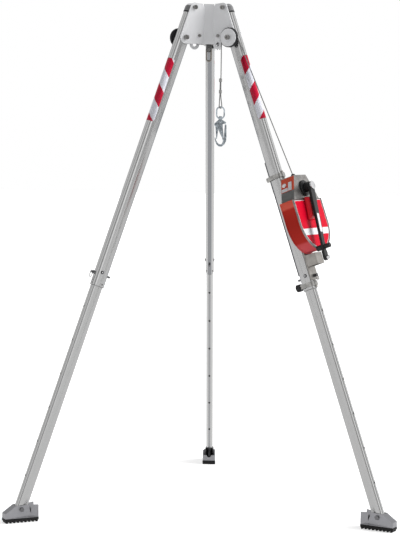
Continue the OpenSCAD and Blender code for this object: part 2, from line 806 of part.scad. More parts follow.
// Hook outline in X and Z, from its shoulder down: a bowl under a spine, open on the gate's side
module hook_outline() {
    scale(hook_scale) polygon([[-7, 0], [7, 0], [27.6, -13], [27.6, -19], [11, -22], [15.5, -72], [16, -86],
        [20, -93], [30, -93], [28.5, -103], [20, -119], [10, -127], [1.5, -129.5], [-9, -126.5], [-16, -119],
        [-21, -110], [-26, -93], [-25, -85.5], [-22.5, -84.5], [-19.8, -97], [-13.5, -108], [-6, -115.5],
        [3, -118], [9, -114], [13, -104], [13, -99], [7, -81.5], [-1, -66], [-5, -57], [-12, -40], [-24, -33],
        [-27.6, -28], [-27.6, -19]]);
}

// Tongue that carries the lever's pin, above the bowl's outer side
module tongue_outline() {
    translate(lever_at) circle(r = 6, $fn = 32);
    scale(hook_scale) polygon([[18.5, -84], [29.5, -84], [29, -95], [20, -95]]);
}

module hook_body() {
    post_head = 4;
    post_h = swivel_play + swivel_h + swivel_play + post_head;
    slot_from = [-34, -75];
    slot_to = [5, -17];
    color(steel) drop_frame() translate([0, 0, hook_top]) difference() {
        union() {
            slab_y(-hook_t / 2, hook_t / 2) hook_outline();
            slab_y(-tongue_t / 2, tongue_t / 2) tongue_outline();
            translate([0, 0, -2]) cylinder(r = swivel_d / 2, h = 2 + post_h);
            translate([0, 0, post_h - post_head]) cylinder(r = swivel_d / 2 + 2, h = post_head);
        }
        translate([gate_at[0], 0, gate_at[1]]) across(gate_pin_d / 2 + run_gap, -hook_t, hook_t);
        translate([lever_at[0], 0, lever_at[1]]) across(lever_pin_d / 2 + run_gap, -hook_t, hook_t);
        slab_y(-gate_t / 2 - slide_gap, gate_t / 2 + slide_gap) scale(hook_scale)
            translate(slot_from) square(slot_to - slot_from);
    }
}

// Gate on a pin through the hook's shoulder
module hook_gate() {
    color(dark_steel) drop_frame() translate([0, 0, hook_top]) {
        slab_y(-gate_t / 2, gate_t / 2) {
            translate(gate_at) circle(r = 5.5, $fn = 32);
            scale(hook_scale)
                polygon([[-22, -23], [-13, -23], [-9.5, -50], [-15, -93], [-18.4, -93], [-22.5, -40]]);
        }
        translate([gate_at[0], 0, gate_at[1]]) across(gate_pin_d / 2, -hook_t / 2 - 1, hook_t / 2 + 1);
    }
}

// Lever that frees the gate when it is squeezed towards the spine, forked over the tongue
module hook_lever() {
    fork = tongue_t / 2 + slide_gap;
    fork_top = lever_at[1] + 10;
    color(dark_steel) drop_frame() translate([0, 0, hook_top]) {
        difference() {
            slab_y(-hook_t / 2, hook_t / 2) hull() {
                translate(lever_at) circle(r = 6.5, $fn = 32);
                translate([25.5 * hook_scale[0], -26 * hook_scale[1]]) circle(r = 4, $fn = 32);
            }
            translate([0, -fork, fork_top - 30]) cube([hook_w, 2 * fork, 30]);
        }
        translate([lever_at[0], 0, lever_at[1]]) across(lever_pin_d / 2, -hook_t / 2, hook_t / 2);
    }
}

// Bracket: a plate on the leg's round face with narrow ends for the straps, bosses and a shelf
module winch_bracket() {
    wide_top = strap_upper_z - strap_w;
    wide_bottom = pin_z - 19;
    color(aluminium) leg_frame("right") difference() {
        union() {
            translate([plate_x0, -bracket_w / 2, wide_bottom])
                cube([bracket_t, bracket_w, wide_top - wide_bottom]);
            translate([plate_x0, -tongue_w / 2, strap_lower_z - strap_w])
                cube([bracket_t, tongue_w, strap_upper_z - strap_lower_z + 2 * strap_w]);
            for (up = [-70, 60], flip = [-1, 1])
                translate([0, flip * bracket_w / 3, winch_z + up]) along(10, plate_x1 - 1, winch_back);
            for (flip = [-1, 1])
                translate([plate_x1 - 1, flip * (bracket_w / 2 - 4) - 2, shelf_top - shelf_h])
                    cube([shelf_x - plate_x1 + 1, 4, shelf_h]);
            translate([shelf_x - 4, -bracket_w / 2 + 2, shelf_top - shelf_h])
                cube([4, bracket_w - 4, shelf_h]);
        }
        translate([0, 0, pin_z]) along(pin_d / 2 + 1, 0, leg_d);
    }
}

// Straps round the leg and the bracket, with a clamp boss on the upper one
module leg_straps() {
    boss_r = 11;
    boss_x = -leg_d / 2 - strap_in - strap_t;
    color(steel) leg_frame("right") difference() {
        union() {
            for (z = [strap_upper_z, strap_lower_z])
                leg_ring(-strap_in - strap_t, -strap_in, z - strap_w / 2, z + strap_w / 2);
            translate([0, 0, strap_upper_z]) along(boss_r, boss_x - 12, boss_x + 1);
        }
        translate([0, 0, strap_lower_z]) along(knob_screw_d / 2 + run_gap, -leg_d, 0);
    }
}

// Lobed knob with a screw through the lower strap onto the leg
module clamp_knob() {
    knob_r = 15;
    lobe_r = 4;
    knob_face = -leg_d / 2 - strap_in - strap_t - slide_gap;
    color(black) leg_frame("right") translate([0, 0, strap_lower_z]) {
        along(knob_screw_d / 2, knob_face - 1, -leg_d / 2 - seat_gap / 2);
        along(knob_r, knob_face - 26, knob_face);
        for (k = [0 : 5]) rotate([60 * k, 0, 0]) translate([0, knob_r, 0])
            along(lobe_r, knob_face - 24, knob_face - 3);
    }
}

module backing_strip() {
    strip_top_z = strap_upper_z + 82;
    color(black) leg_frame("right")
        translate([-leg_d / 2 - strip_t - seat_gap / 2, -strip_w / 2, strip_top_z - strip_len])
        cube([strip_t, strip_w, strip_len]);
}

// Front view of the housing about the drum's axis: round below, square above
module winch_outline(grow) {
    half_w = winch_r + grow;
    top = block_base + min(grow, 0);
    translate([0, winch_z]) {
        difference() {
            circle(r = half_w, $fn = 96);
            translate([-half_w, 0]) square(2 * half_w);
        }
        translate([-half_w, 0]) square([2 * half_w, top]);
    }
}

module block_outline(inset, base_drop) {
    half_base = block_base_w / 2 - inset;
    half_top = block_top_w / 2 - inset;
    base_z = winch_z + block_base - base_drop;
    top_z = block_top - inset;
    polygon([[-half_base, base_z], [half_base, base_z], [half_top, top_z], [-half_top, top_z]]);
}

module winch_housing() {
    color(red) leg_frame("right") {
        difference() {
            union() {
                slab_x(winch_back, cover_x) winch_outline(0);
                slab_x(winch_back, winch_back + rim) winch_outline(rim);
            }
            slab_x(winch_back + winch_wall, winch_front) winch_outline(-winch_wall);
            translate([winch_back + winch_wall, -drum_gear_r * 0.75, winch_z])
                cube([winch_t, drum_gear_r * 1.5, winch_r]);
        }
        translate([0, 0, winch_z]) along(axle_d / 2, winch_back + winch_wall - 1, cover_x);
    }
}

module winch_cover() {
    color(aluminium) leg_frame("right") difference() {
        slab_x(cover_x, winch_front) winch_outline(rim);
        slab_x(cover_x + cover_t - 3, winch_front + 1) winch_outline(-rim);
    }
}

module outlet_block() {
    side = 5;
    color(red) leg_frame("right") difference() {
        slab_x(winch_back + 2, winch_front - 2) block_outline(0, 0);
        slab_x(winch_back + 2 + side, winch_front - 2 - side) block_outline(side, 1);
        translate([0, 0, shaft_z]) along(shaft_d / 2 + run_gap, winch_front - 2 - side - 1, winch_front);
        translate([0, 0, shaft_z]) along(shaft_d / 2 + run_gap, bearing_x, winch_back + 2 + side + 1);
        translate([nozzle_x, 0, block_top - side - 1]) cylinder(r = 2 * rope_d, h = side * 2);
    }
}

module cable_nozzle() {
    color(black) leg_frame("right") translate([nozzle_x, 0, block_top]) difference() {
        union() {
            cylinder(r = 16, h = 5);
            cylinder(r1 = 13, r2 = 8, h = nozzle_h);
        }
        translate([0, 0, -1]) cylinder(r1 = 2 * rope_d, r2 = rope_d / 2 + 2, h = nozzle_h + 2);
    }
}

// Round casing about the crank's hub
module gear_casing() {
    color(grey_plastic) leg_frame("right") translate([0, 0, shaft_z]) difference() {
        union() {
            along(hub_r + 16, winch_front - 2, winch_front + 7);
            along(hub_r + 9, winch_front - 2, winch_front + 10);
        }
        along(hub_r + slide_gap, winch_front - 3, winch_front + 11);
    }
}

// Raised red cover below the crank's hub, seated in the winch cover
module brake_cover() {
    color(red) leg_frame("right") {
        slab_x(winch_front - 3, winch_front + 1) translate([0, winch_z])
            polygon([[-24, block_base - 8], [14, block_base - 8], [36, 16], [-46, 16]]);
        hull() {
            slab_x(winch_front + seat_gap, winch_front + 8) translate([0, winch_z])
                polygon([[-30, 119], [20, 119], [42, 10], [-52, 10]]);
            slab_x(winch_front + seat_gap, winch_front + 24) translate([0, winch_z])
                polygon([[-24, 113], [14, 113], [30, 22], [-42, 22]]);
        }
    }
}

// Gear outline with straight-sided teeth, one of them on the +Z side before the phase turns it
module gear_outline(teeth, phase) {
    step = 360 / teeth;
    pitch = gear_module * teeth / 2;
    tip = pitch + gear_module * 0.8;
    root = pitch - gear_module * 1.1;
    polygon([for (k = [0 : teeth - 1], p = [[root, -0.36], [tip, -0.12], [tip, 0.12], [root, 0.36]])
        let (a = 90 + phase + step * (k + p[1])) p[0] * [cos(a), sin(a)]]);
}

module cable_drum() {
    color(steel) leg_frame("right") difference() {
        union() {
            translate([0, 0, winch_z]) {
                along(drum_core_r, drum_x, gear_x);
                along(drum_flange_r, drum_x, drum_x + flange_t);
                along(drum_flange_r, gear_x - 1 - flange_t, gear_x - 1);
            }
            slab_x(gear_x - 1, gear_x + gear_t) translate([0, winch_z]) gear_outline(drum_teeth, 0);
        }
        translate([0, 0, winch_z]) along(axle_d / 2 + run_gap, winch_back, winch_front);
    }
}

// Cable wound on the drum, as its outer shape
module wound_cable() {
    color(dark_steel) leg_frame("right") translate([0, 0, winch_z]) difference() {
        along(wound_r, drum_x + flange_t, gear_x - 1 - flange_t);
        along(drum_core_r, drum_x, gear_x);
    }
}

// Crank shaft with the pinion that drives the drum's gear
module drive_pinion() {
    color(steel) leg_frame("right") {
        translate([0, 0, shaft_z]) along(shaft_d / 2, bearing_x + seat_gap, winch_front + slide_gap);
        slab_x(gear_x, gear_x + gear_t) translate([0, shaft_z])
            gear_outline(pinion_teeth, 180 + 180 / pinion_teeth);
    }
}

module crank_arm() {
    color(black) leg_frame("right") translate([0, 0, shaft_z]) rotate([-crank_turn, 0, 0]) difference() {
        union() {
            along(hub_r, winch_front + slide_gap, crank_x + 1);
            slab_x(crank_x, crank_out) hull() {
                circle(r = hub_r - 2, $fn = 32);
                translate([0, -crank_len - crank_tail + 12]) circle(r = crank_w / 2 - 3, $fn = 32);
            }
            along(hub_r - 8, crank_out - 1, crank_out + 6);
        }
        translate([0, 0, -crank_len]) along(5 + run_gap, crank_x - 1, crank_out + 1);
    }
}

// Grip on a pin through the crank arm
module crank_grip() {
    grip_in = winch_front + 3;
    outer_len = 30;
    color(black) leg_frame("right") translate([0, 0, shaft_z]) rotate([-crank_turn, 0, 0])
        translate([0, 0, -crank_len]) {
            along(grip_d / 2, grip_in, crank_x - slide_gap);
            along(5, crank_x - 1, crank_out + 1);
            along(grip_d / 2 - 2, crank_out + slide_gap, crank_out + slide_gap + outer_len);
        }
}

head_plate(270);  // front_head_plate
head_plate(150);  // left_head_plate
head_plate(30);  // right_head_plate
pivot_bolts();
plate_bolts();
sheave("left");  // left_sheave
sheave("right");  // right_sheave
sheave("rear");  // rear_sheave
sheave_discs();
anchor_hub();
anchor_pin();
anchor_link();
upper_leg("left");  // left_upper_leg
leg_cap("left");  // left_leg_cap
knee_guide("left");  // left_knee_guide
lock_pin("left");  // left_lock_pin
lower_leg("left");  // left_lower_leg
foot_bracket("left");  // left_foot_bracket
foot_sole("left");  // left_foot_sole
foot_bolt("left");  // left_foot_bolt
upper_leg("right");  // right_upper_leg
leg_cap("right");  // right_leg_cap
knee_guide("right");  // right_knee_guide
lock_pin("right");  // right_lock_pin
lower_leg("right");  // right_lower_leg
foot_bracket("right");  // right_foot_bracket
foot_sole("right");  // right_foot_sole
foot_bolt("right");  // right_foot_bolt
upper_leg("rear");  // rear_upper_leg
leg_cap("rear");  // rear_leg_cap
knee_guide("rear");  // rear_knee_guide
lock_pin("rear");  // rear_lock_pin
lower_leg("rear");  // rear_lower_leg
foot_bracket("rear");  // rear_foot_bracket
foot_sole("rear");  // rear_foot_sole
foot_bolt("rear");  // rear_foot_bolt
lifeline_run();
lifeline_wrap();
lifeline_drop();
lifeline_loop();
lifeline_ferrules();
hook_eye();
hook_body();
hook_gate();
hook_lever();
winch_bracket();
leg_straps();
clamp_knob();
backing_strip();
winch_housing();
winch_cover();
outlet_block();
cable_nozzle();
gear_casing();
brake_cover();
cable_drum();
wound_cable();
drive_pinion();
crank_arm();
crank_grip();
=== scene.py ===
import json
import math

import bmesh
import bpy
from mathutils import Matrix, Vector


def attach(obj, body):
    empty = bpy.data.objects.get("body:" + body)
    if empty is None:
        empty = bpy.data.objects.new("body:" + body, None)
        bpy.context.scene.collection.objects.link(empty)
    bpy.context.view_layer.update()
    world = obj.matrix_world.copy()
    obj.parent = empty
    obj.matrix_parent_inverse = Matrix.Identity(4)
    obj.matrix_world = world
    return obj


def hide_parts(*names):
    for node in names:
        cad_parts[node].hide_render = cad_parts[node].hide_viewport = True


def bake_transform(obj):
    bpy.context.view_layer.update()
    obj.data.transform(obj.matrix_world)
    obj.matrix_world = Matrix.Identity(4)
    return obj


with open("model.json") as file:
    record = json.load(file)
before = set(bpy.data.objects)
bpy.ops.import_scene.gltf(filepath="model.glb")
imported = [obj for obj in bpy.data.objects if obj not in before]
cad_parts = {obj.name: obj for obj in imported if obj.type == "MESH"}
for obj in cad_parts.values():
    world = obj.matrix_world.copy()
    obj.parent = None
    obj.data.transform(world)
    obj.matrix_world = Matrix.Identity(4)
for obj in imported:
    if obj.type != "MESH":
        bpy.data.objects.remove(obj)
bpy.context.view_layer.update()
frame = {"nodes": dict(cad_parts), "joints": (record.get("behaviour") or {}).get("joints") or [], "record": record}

nodes = frame["nodes"]
joints = {joint["name"]: joint for joint in frame["joints"]}
sides = ["left", "right", "rear"]

# real sizes, in metres
tube = {"width": 0.043, "depth": 0.067, "axisOffset": 0.006, "upperTop": 0.139, "upperBottom": -1.247,
        # painted shade on the tube's narrow inner face fades in between the last two depths
        "pinUp": 0.056, "paintedShadeFrom": -0.0285, "paintedShadeTo": -0.0300}
tube["roundX"] = (tube["depth"] - tube["width"]) / 2


def jointPoint(name):
    return Vector(joints[name]["pos_m"])


def jointAxis(name):
    return Vector(joints[name]["axis"])


tripodAxis = Vector((0, jointPoint("anchor_swing").y, 0))


def armMatrix(side):  # radial X, tangential Y, upright Z, origin on the ground under the head
    reach = jointPoint(side + "_leg_fold") - tripodAxis
    turn = math.atan2(reach.y, reach.x)
    return Matrix.Translation(tripodAxis) @ Matrix.Rotation(turn, 4, "Z")


def legMatrix(side):  # outward X, tangential Y, lengthwise Z, origin on the tube's middle line by the pivot
    outward = jointAxis(side + "_pin_pull")
    upward = jointAxis(side + "_leg_slide")
    basis = Matrix((outward, upward.cross(outward), upward)).transposed().to_4x4()
    start = jointPoint(side + "_leg_fold") + outward * tube["axisOffset"]
    return Matrix.Translation(start) @ basis


def footMatrix(side):  # as the arm, with its origin on the ground under the foot bolt
    bolt = jointPoint(side + "_foot_tilt")
    turn = armMatrix(side).to_euler().z
    return Matrix.Translation((bolt.x, bolt.y, 0)) @ Matrix.Rotation(turn, 4, "Z")


legs = {side: legMatrix(side) for side in sides}
arms = {side: armMatrix(side) for side in sides}
feet = {side: footMatrix(side) for side in sides}
winchLeg = legs["right"]
toX = Matrix.Rotation(math.pi / 2, 4, "Y")  # turns Z towards X
toY = Matrix.Rotation(-math.pi / 2, 4, "X")  # turns Z towards Y
toMinusY = Matrix.Rotation(math.pi / 2, 4, "X")


def place(x, y, z):
    return Matrix.Translation((x, y, z))


# camera, as it stood for the photograph
shot = {"place": (0.267, -7.620, 1.795), "yaw": 2.22, "pitch": -4.85, "roll": 0.774, "lens": 106.2}


def makeCamera():
    yaw, pitch, roll = (math.radians(shot[key]) for key in ("yaw", "pitch", "roll"))
    ahead = Vector((-math.sin(yaw) * math.cos(pitch), math.cos(yaw) * math.cos(pitch), math.sin(pitch)))
    level = Vector((math.cos(yaw), math.sin(yaw), 0))
    upright = level.cross(ahead)
    right = level * math.cos(roll) + upright * math.sin(roll)
    basis = Matrix((right, right.cross(ahead), -ahead)).transposed().to_4x4()
    data = bpy.data.cameras.new("shotCamera")
    data.lens = shot["lens"]
    data.sensor_width = 36
    camera = bpy.data.objects.new("shotCamera", data)
    camera.matrix_world = Matrix.Translation(Vector(shot["place"]) + tripodAxis) @ basis
    bpy.context.scene.collection.objects.link(camera)
    bpy.context.scene.camera = camera


makeCamera()
print("camera set")


# shader helpers
def setInputs(tree, made, inputs):  # a socket is linked, a plain value is set
    for key, value in inputs.items():
        if isinstance(value, bpy.types.NodeSocket):
            tree.links.new(value, made.inputs[key])
        else:
            made.inputs[key].default_value = value


def addNode(tree, kind, inputs=None, **settings):
    made = tree.nodes.new(kind)
    for key, value in settings.items():
        setattr(made, key, value)
    setInputs(tree, made, inputs or {})
    return made


def mathNode(tree, operation, first, second=0.5, third=None):
    values = {0: first, 1: second}
    if third is not None:
        values[2] = third
    return addNode(tree, "ShaderNodeMath", values, operation=operation).outputs[0]


def rangeNode(tree, value, low, high):  # 0 at the first limit, 1 at the second
    return addNode(tree, "ShaderNodeMapRange", {"Value": value, "From Min": low, "From Max": high}).outputs[0]


def blendColor(tree, factor, first, second):
    inputs = {0: factor, 6: first, 7: second}
    return addNode(tree, "ShaderNodeMix", inputs, data_type="RGBA", blend_type="MIX").outputs[2]


def fillRamp(ramp, stops):  # places along the ramp, with their colours
    elements = ramp.color_ramp.elements
    for spot, color in stops[1:-1]:
        elements.new(spot)
    for element, (spot, color) in zip(elements, stops):
        element.position = spot
        element.color = color


def rgba(color):
    return (*color, 1)


def evenTone(level):
    return (level, level, level, 1)


def newGroup(name, inputs, outputs):
    group = bpy.data.node_groups.new(name, "ShaderNodeTree")
    for label, kind, value in inputs:
        socket = group.interface.new_socket(name=label, in_out="INPUT", socket_type=kind)
        if value is not None:
            socket.default_value = value
    for label, kind in outputs:
        group.interface.new_socket(name=label, in_out="OUTPUT", socket_type=kind)
    start = group.nodes.new("NodeGroupInput")
    end = group.nodes.new("NodeGroupOutput")
    return group, start.outputs, end.inputs


def makeAgedGroup():  # uneven tone, uneven gloss and a fine tooth for any solid surface
    tree, given, put = newGroup(
        "agedSurface",
        [("Place", "NodeSocketVector", None), ("Tone", "NodeSocketColor", (0.5, 0.5, 0.5, 1)),
         ("Stain", "NodeSocketColor", (0.3, 0.3, 0.3, 1)), ("Stain Amount", "NodeSocketFloat", 0.2),
         ("Patch Scale", "NodeSocketFloat", 14.0), ("Tooth Scale", "NodeSocketFloat", 900.0),
         ("Roughness", "NodeSocketFloat", 0.4), ("Gloss Spread", "NodeSocketFloat", 0.15)],
        [("Color", "NodeSocketColor"), ("Roughness", "NodeSocketFloat"), ("Height", "NodeSocketFloat")])
    patch = addNode(tree, "ShaderNodeTexNoise", {"Vector": given["Place"], "Scale": given["Patch Scale"],
                                                 "Detail": 6.0, "Roughness": 0.62})
    tooth = addNode(tree, "ShaderNodeTexNoise", {"Vector": given["Place"], "Scale": given["Tooth Scale"],
                                                 "Detail": 3.0})
    cloud = rangeNode(tree, patch.outputs[0], 0.35, 0.75)
    amount = mathNode(tree, "MULTIPLY", cloud, given["Stain Amount"])
    tree.links.new(blendColor(tree, amount, given["Tone"], given["Stain"]), put["Color"])
    swing = mathNode(tree, "MULTIPLY_ADD", patch.outputs[0], given["Gloss Spread"], given["Roughness"])
    lowered = mathNode(tree, "MULTIPLY_ADD", given["Gloss Spread"], -0.5, swing)
    tree.links.new(lowered, put["Roughness"])
    tree.links.new(tooth.outputs[0], put["Height"])
    return tree


def makeDrawnGroup():  # die lines and scuffs that run along Z of the given place
    tree, given, put = newGroup(
        "drawnLines",
        [("Place", "NodeSocketVector", None), ("Fineness", "NodeSocketFloat", 420.0),
         ("Length", "NodeSocketFloat", 2.0)],
        [("Lines", "NodeSocketFloat"), ("Scuffs", "NodeSocketFloat")])
    split = addNode(tree, "ShaderNodeSeparateXYZ", {0: given["Place"]}).outputs

    def stretched(fine, long):
        factors = (fine, fine, long)
        scaled = [mathNode(tree, "MULTIPLY", split[axis], factor) for axis, factor in enumerate(factors)]
        return addNode(tree, "ShaderNodeCombineXYZ", dict(enumerate(scaled))).outputs[0]

    lines = addNode(tree, "ShaderNodeTexNoise", {"Vector": stretched(given["Fineness"], given["Length"]),
                                                 "Scale": 1.0, "Detail": 4.0})
    scuffs = addNode(tree, "ShaderNodeTexNoise", {"Vector": stretched(60.0, 9.0), "Scale": 1.0, "Detail": 8.0,
                                                  "Roughness": 0.7})
    tree.links.new(lines.outputs[0], put["Lines"])
    tree.links.new(rangeNode(tree, scuffs.outputs[0], 0.6, 0.78), put["Scuffs"])
    return tree


agedGroup = makeAgedGroup()
drawnGroup = makeDrawnGroup()


def startMaterial(name):
    material = bpy.data.materials.new(name)
    material.use_nodes = True
    tree = material.node_tree
    return material, tree, tree.nodes["Principled BSDF"]


def localPlace(tree, matrix=None):  # object coordinates, turned into a leg's or an arm's own directions
    coords = addNode(tree, "ShaderNodeTexCoord").outputs["Object"]
    if matrix is None:
        return coords
    turned = {"Vector": coords, "Location": matrix.translation, "Rotation": matrix.to_euler()}
    return addNode(tree, "ShaderNodeMapping", turned, vector_type="TEXTURE").outputs[0]


def agedNode(tree, finish, spot, patch, spread):  # the aged group, set from a finish
    return addNode(tree, "ShaderNodeGroup", {
        "Place": spot, "Tone": rgba(finish["tone"]), "Stain": rgba(finish["stain"]),
        "Stain Amount": finish.get("amount", 0.3), "Patch Scale": finish.get("patch", patch),
        "Tooth Scale": finish.get("tooth", 900), "Roughness": finish["rough"],
        "Gloss Spread": finish.get("spread", spread)}, node_tree=agedGroup)


def agedMaterial(name, finish):
    material, tree, shader = startMaterial(name)
    aged = agedNode(tree, finish, localPlace(tree), patch=14, spread=0.15).outputs
    bump = addNode(tree, "ShaderNodeBump", {"Strength": finish.get("bump", 0.08), "Distance": 0.0004,
                                            "Height": aged["Height"]})
    setInputs(tree, shader, {
        "Base Color": aged["Color"], "Roughness": aged["Roughness"], "Metallic": finish.get("metal", 0),
        "Specular IOR Level": finish.get("specular", 0.5), "Normal": bump.outputs[0]})
    return material


def drawnMaterial(name, finish, matrix):  # extruded or brushed metal, its lines along the matrix's Z
    material, tree, shader = startMaterial(name)
    spot = localPlace(tree, matrix)
    aged = agedNode(tree, finish, spot, patch=9, spread=0.12).outputs
    drawn = addNode(tree, "ShaderNodeGroup", {"Place": spot}, node_tree=drawnGroup).outputs
    scuffed = mathNode(tree, "MULTIPLY", drawn["Scuffs"], finish.get("scuff", 0.25))
    tone = blendColor(tree, scuffed, aged["Color"], rgba(finish["scuffTone"]))
    if "inner" in finish:  # the tube's narrow inner face is painted darker: painted shade standing in for the dark reflection it shows
        inward = addNode(tree, "ShaderNodeSeparateXYZ", {0: spot}).outputs[0]
        paintedShade = rangeNode(tree, inward, tube["paintedShadeFrom"], tube["paintedShadeTo"])
        tone = blendColor(tree, paintedShade, tone, rgba(finish["inner"]))
    streak = mathNode(tree, "MULTIPLY_ADD", drawn["Lines"], finish.get("streak", 0.14), aged["Roughness"])
    bump = addNode(tree, "ShaderNodeBump", {"Strength": finish.get("bump", 0.05), "Distance": 0.0003,
                                            "Height": drawn["Lines"]})
    setInputs(tree, shader, {"Base Color": tone, "Roughness": streak, "Metallic": finish.get("metal", 1),
                             "Normal": bump.outputs[0]})
    return material


finishes = {
    "headPlate": {"tone": (0.70, 0.705, 0.72), "stain": (0.63, 0.63, 0.64), "scuffTone": (0.78, 0.78, 0.79),
                  "rough": 0.34, "amount": 0.25, "metal": 0.3, "scuff": 0.1, "streak": 0.06, "bump": 0.02},
    # legTube's inner tone is painted shade on the tube's narrow inner face
    "legTube": {"tone": (0.365, 0.365, 0.365), "stain": (0.33, 0.33, 0.325), "scuffTone": (0.50, 0.50, 0.50),
                "inner": (0.22, 0.225, 0.235), "rough": 0.19, "amount": 0.25, "metal": 0.95, "scuff": 0.10,
                "streak": 0.05, "spread": 0.05, "bump": 0.012},
    "bracketPlate": {"tone": (0.31, 0.295, 0.275), "stain": (0.15, 0.14, 0.13),
                     "scuffTone": (0.46, 0.45, 0.44), "rough": 0.32, "amount": 0.8, "patch": 26, "scuff": 0.4,
                     "metal": 0.85, "bump": 0.03},
    "strapSteel": {"tone": (0.31, 0.305, 0.295), "stain": (0.10, 0.10, 0.095), "rough": 0.28, "amount": 0.7,
                   "patch": 40, "metal": 0.9},
    "footSheet": {"tone": (0.27, 0.27, 0.285), "stain": (0.20, 0.20, 0.21), "scuffTone": (0.36, 0.36, 0.37),
                  "rough": 0.32, "amount": 0.45, "metal": 0.85, "bump": 0.03},
    "zincBolt": {"tone": (0.27, 0.265, 0.26), "stain": (0.12, 0.115, 0.11), "rough": 0.18, "amount": 0.6,
                 "patch": 60, "metal": 1},
    "pinSteel": {"tone": (0.13, 0.13, 0.135), "stain": (0.08, 0.08, 0.08), "rough": 0.24, "amount": 0.5,
                 "patch": 60, "metal": 1},
    "zincForging": {"tone": (0.47, 0.52, 0.56), "stain": (0.015, 0.020, 0.025), "rough": 0.20, "amount": 1.0,
                    "patch": 85, "tooth": 240, "bump": 0.8, "metal": 1},
    "linkForging": {"tone": (0.20, 0.185, 0.165), "stain": (0.10, 0.09, 0.08), "rough": 0.26, "amount": 0.6,
                    "patch": 60, "tooth": 500, "bump": 0.15, "metal": 1},
    "wireRope": {"tone": (0.26, 0.26, 0.255), "stain": (0.12, 0.12, 0.12), "rough": 0.32, "amount": 0.5,
                 "patch": 120, "metal": 1},
    "blackNylon": {"tone": (0.016, 0.016, 0.018), "stain": (0.035, 0.035, 0.038), "rough": 0.45,
                   "amount": 0.5, "specular": 0.25, "bump": 0.15},
    "blackPlastic": {"tone": (0.014, 0.014, 0.015), "stain": (0.028, 0.028, 0.030), "rough": 0.42,
                     "amount": 0.4, "specular": 0.22, "tooth": 1400, "bump": 0.25},
    "blackPaint": {"tone": (0.012, 0.012, 0.013), "stain": (0.028, 0.028, 0.030), "rough": 0.36,
                   "amount": 0.3, "specular": 0.2, "tooth": 600, "bump": 0.1},
    "greyCap": {"tone": (0.19, 0.19, 0.195), "stain": (0.12, 0.12, 0.125), "rough": 0.42, "amount": 0.4,
                "tooth": 1400, "bump": 0.2},
    "greyGuide": {"tone": (0.16, 0.16, 0.16), "stain": (0.09, 0.09, 0.09), "rough": 0.45, "amount": 0.4,
                  "tooth": 1200, "bump": 0.2},
    "soleRubber": {"tone": (0.010, 0.010, 0.011), "stain": (0.030, 0.029, 0.028), "rough": 0.7,
                   "amount": 0.4, "specular": 0.2, "patch": 40, "tooth": 700, "bump": 0.4},
    "redBand": {"tone": (0.40, 0.028, 0.016), "stain": (0.33, 0.022, 0.013), "rough": 0.42, "amount": 0.4,
                "patch": 7, "specular": 0.1, "tooth": 500, "bump": 0.05},
    "redCover": {"tone": (0.80, 0.012, 0.030), "stain": (0.68, 0.010, 0.024), "rough": 0.40, "amount": 0.3,
                 "specular": 0.3, "tooth": 500, "bump": 0.05},
    "shoulderRed": {"tone": (0.62, 0.075, 0.030), "stain": (0.50, 0.050, 0.022), "rough": 0.45, "amount": 0.4,
                    "specular": 0.25, "bump": 0.05},
    "redVinyl": {"tone": (0.54, 0.002, 0.020), "stain": (0.47, 0.002, 0.016), "rough": 0.5, "amount": 0.3,
                 "specular": 0.12, "bump": 0.03},
    "whiteVinyl": {"tone": (0.68, 0.69, 0.71), "stain": (0.56, 0.57, 0.59), "rough": 0.36, "amount": 0.3,
                   "bump": 0.03},
    "greyVinyl": {"tone": (0.085, 0.088, 0.085), "stain": (0.05, 0.05, 0.05), "rough": 0.4, "amount": 0.5,
                  "patch": 40, "bump": 0.05},
    "castMetal": {"tone": (0.28, 0.27, 0.26), "stain": (0.07, 0.066, 0.062), "rough": 0.36, "amount": 0.85,
                  "patch": 38, "tooth": 420, "bump": 0.35, "metal": 0.8},
    "gearSteel": {"tone": (0.45, 0.45, 0.46), "stain": (0.28, 0.27, 0.26), "rough": 0.35, "amount": 0.5,
                  "metal": 1},
    "darkSteel": {"tone": (0.10, 0.10, 0.10), "stain": (0.05, 0.05, 0.05), "rough": 0.38, "amount": 0.6,
                  "patch": 50, "metal": 0.9},
    "nutSteel": {"tone": (0.52, 0.52, 0.53), "stain": (0.34, 0.34, 0.34), "rough": 0.22, "amount": 0.4,
                 "patch": 60, "metal": 1},
}
drawnFinishes = {"headPlate", "legTube", "bracketPlate", "footSheet"}
materials = {name: agedMaterial(name, finish) for name, finish in finishes.items()
             if name not in drawnFinishes}
tubeMaterials = {side: drawnMaterial("legTube." + side, finishes["legTube"], legs[side]) for side in sides}
footMaterials = {side: drawnMaterial("footSheet." + side, finishes["footSheet"], feet[side] @ toX)
                 for side in sides}
materials["headPlate"] = drawnMaterial("headPlate", finishes["headPlate"], Matrix.Identity(4))
materials["bracketPlate"] = drawnMaterial("bracketPlate", finishes["bracketPlate"], winchLeg)
# the winch band's colour, from the drum case's underside up to the outlet block, by height along the leg, with
# painted light and shade: the lighter and darker steps stand for how light falls, and the whole band is painted
# lighter because it stands in shade
bandLightAndShade = {"low": -1.088, "high": -0.842, "strength": 0.75, "litAndShadedTones": [
    (0.0, (0.74, 0.110, 0.135)), (0.16, (0.68, 0.085, 0.095)), (0.20, (0.47, 0.018, 0.011)),
    (0.62, (0.50, 0.020, 0.012)), (0.84, (0.60, 0.030, 0.017)), (0.88, (0.96, 0.165, 0.115)),
    (1.0, (0.94, 0.150, 0.095))]}


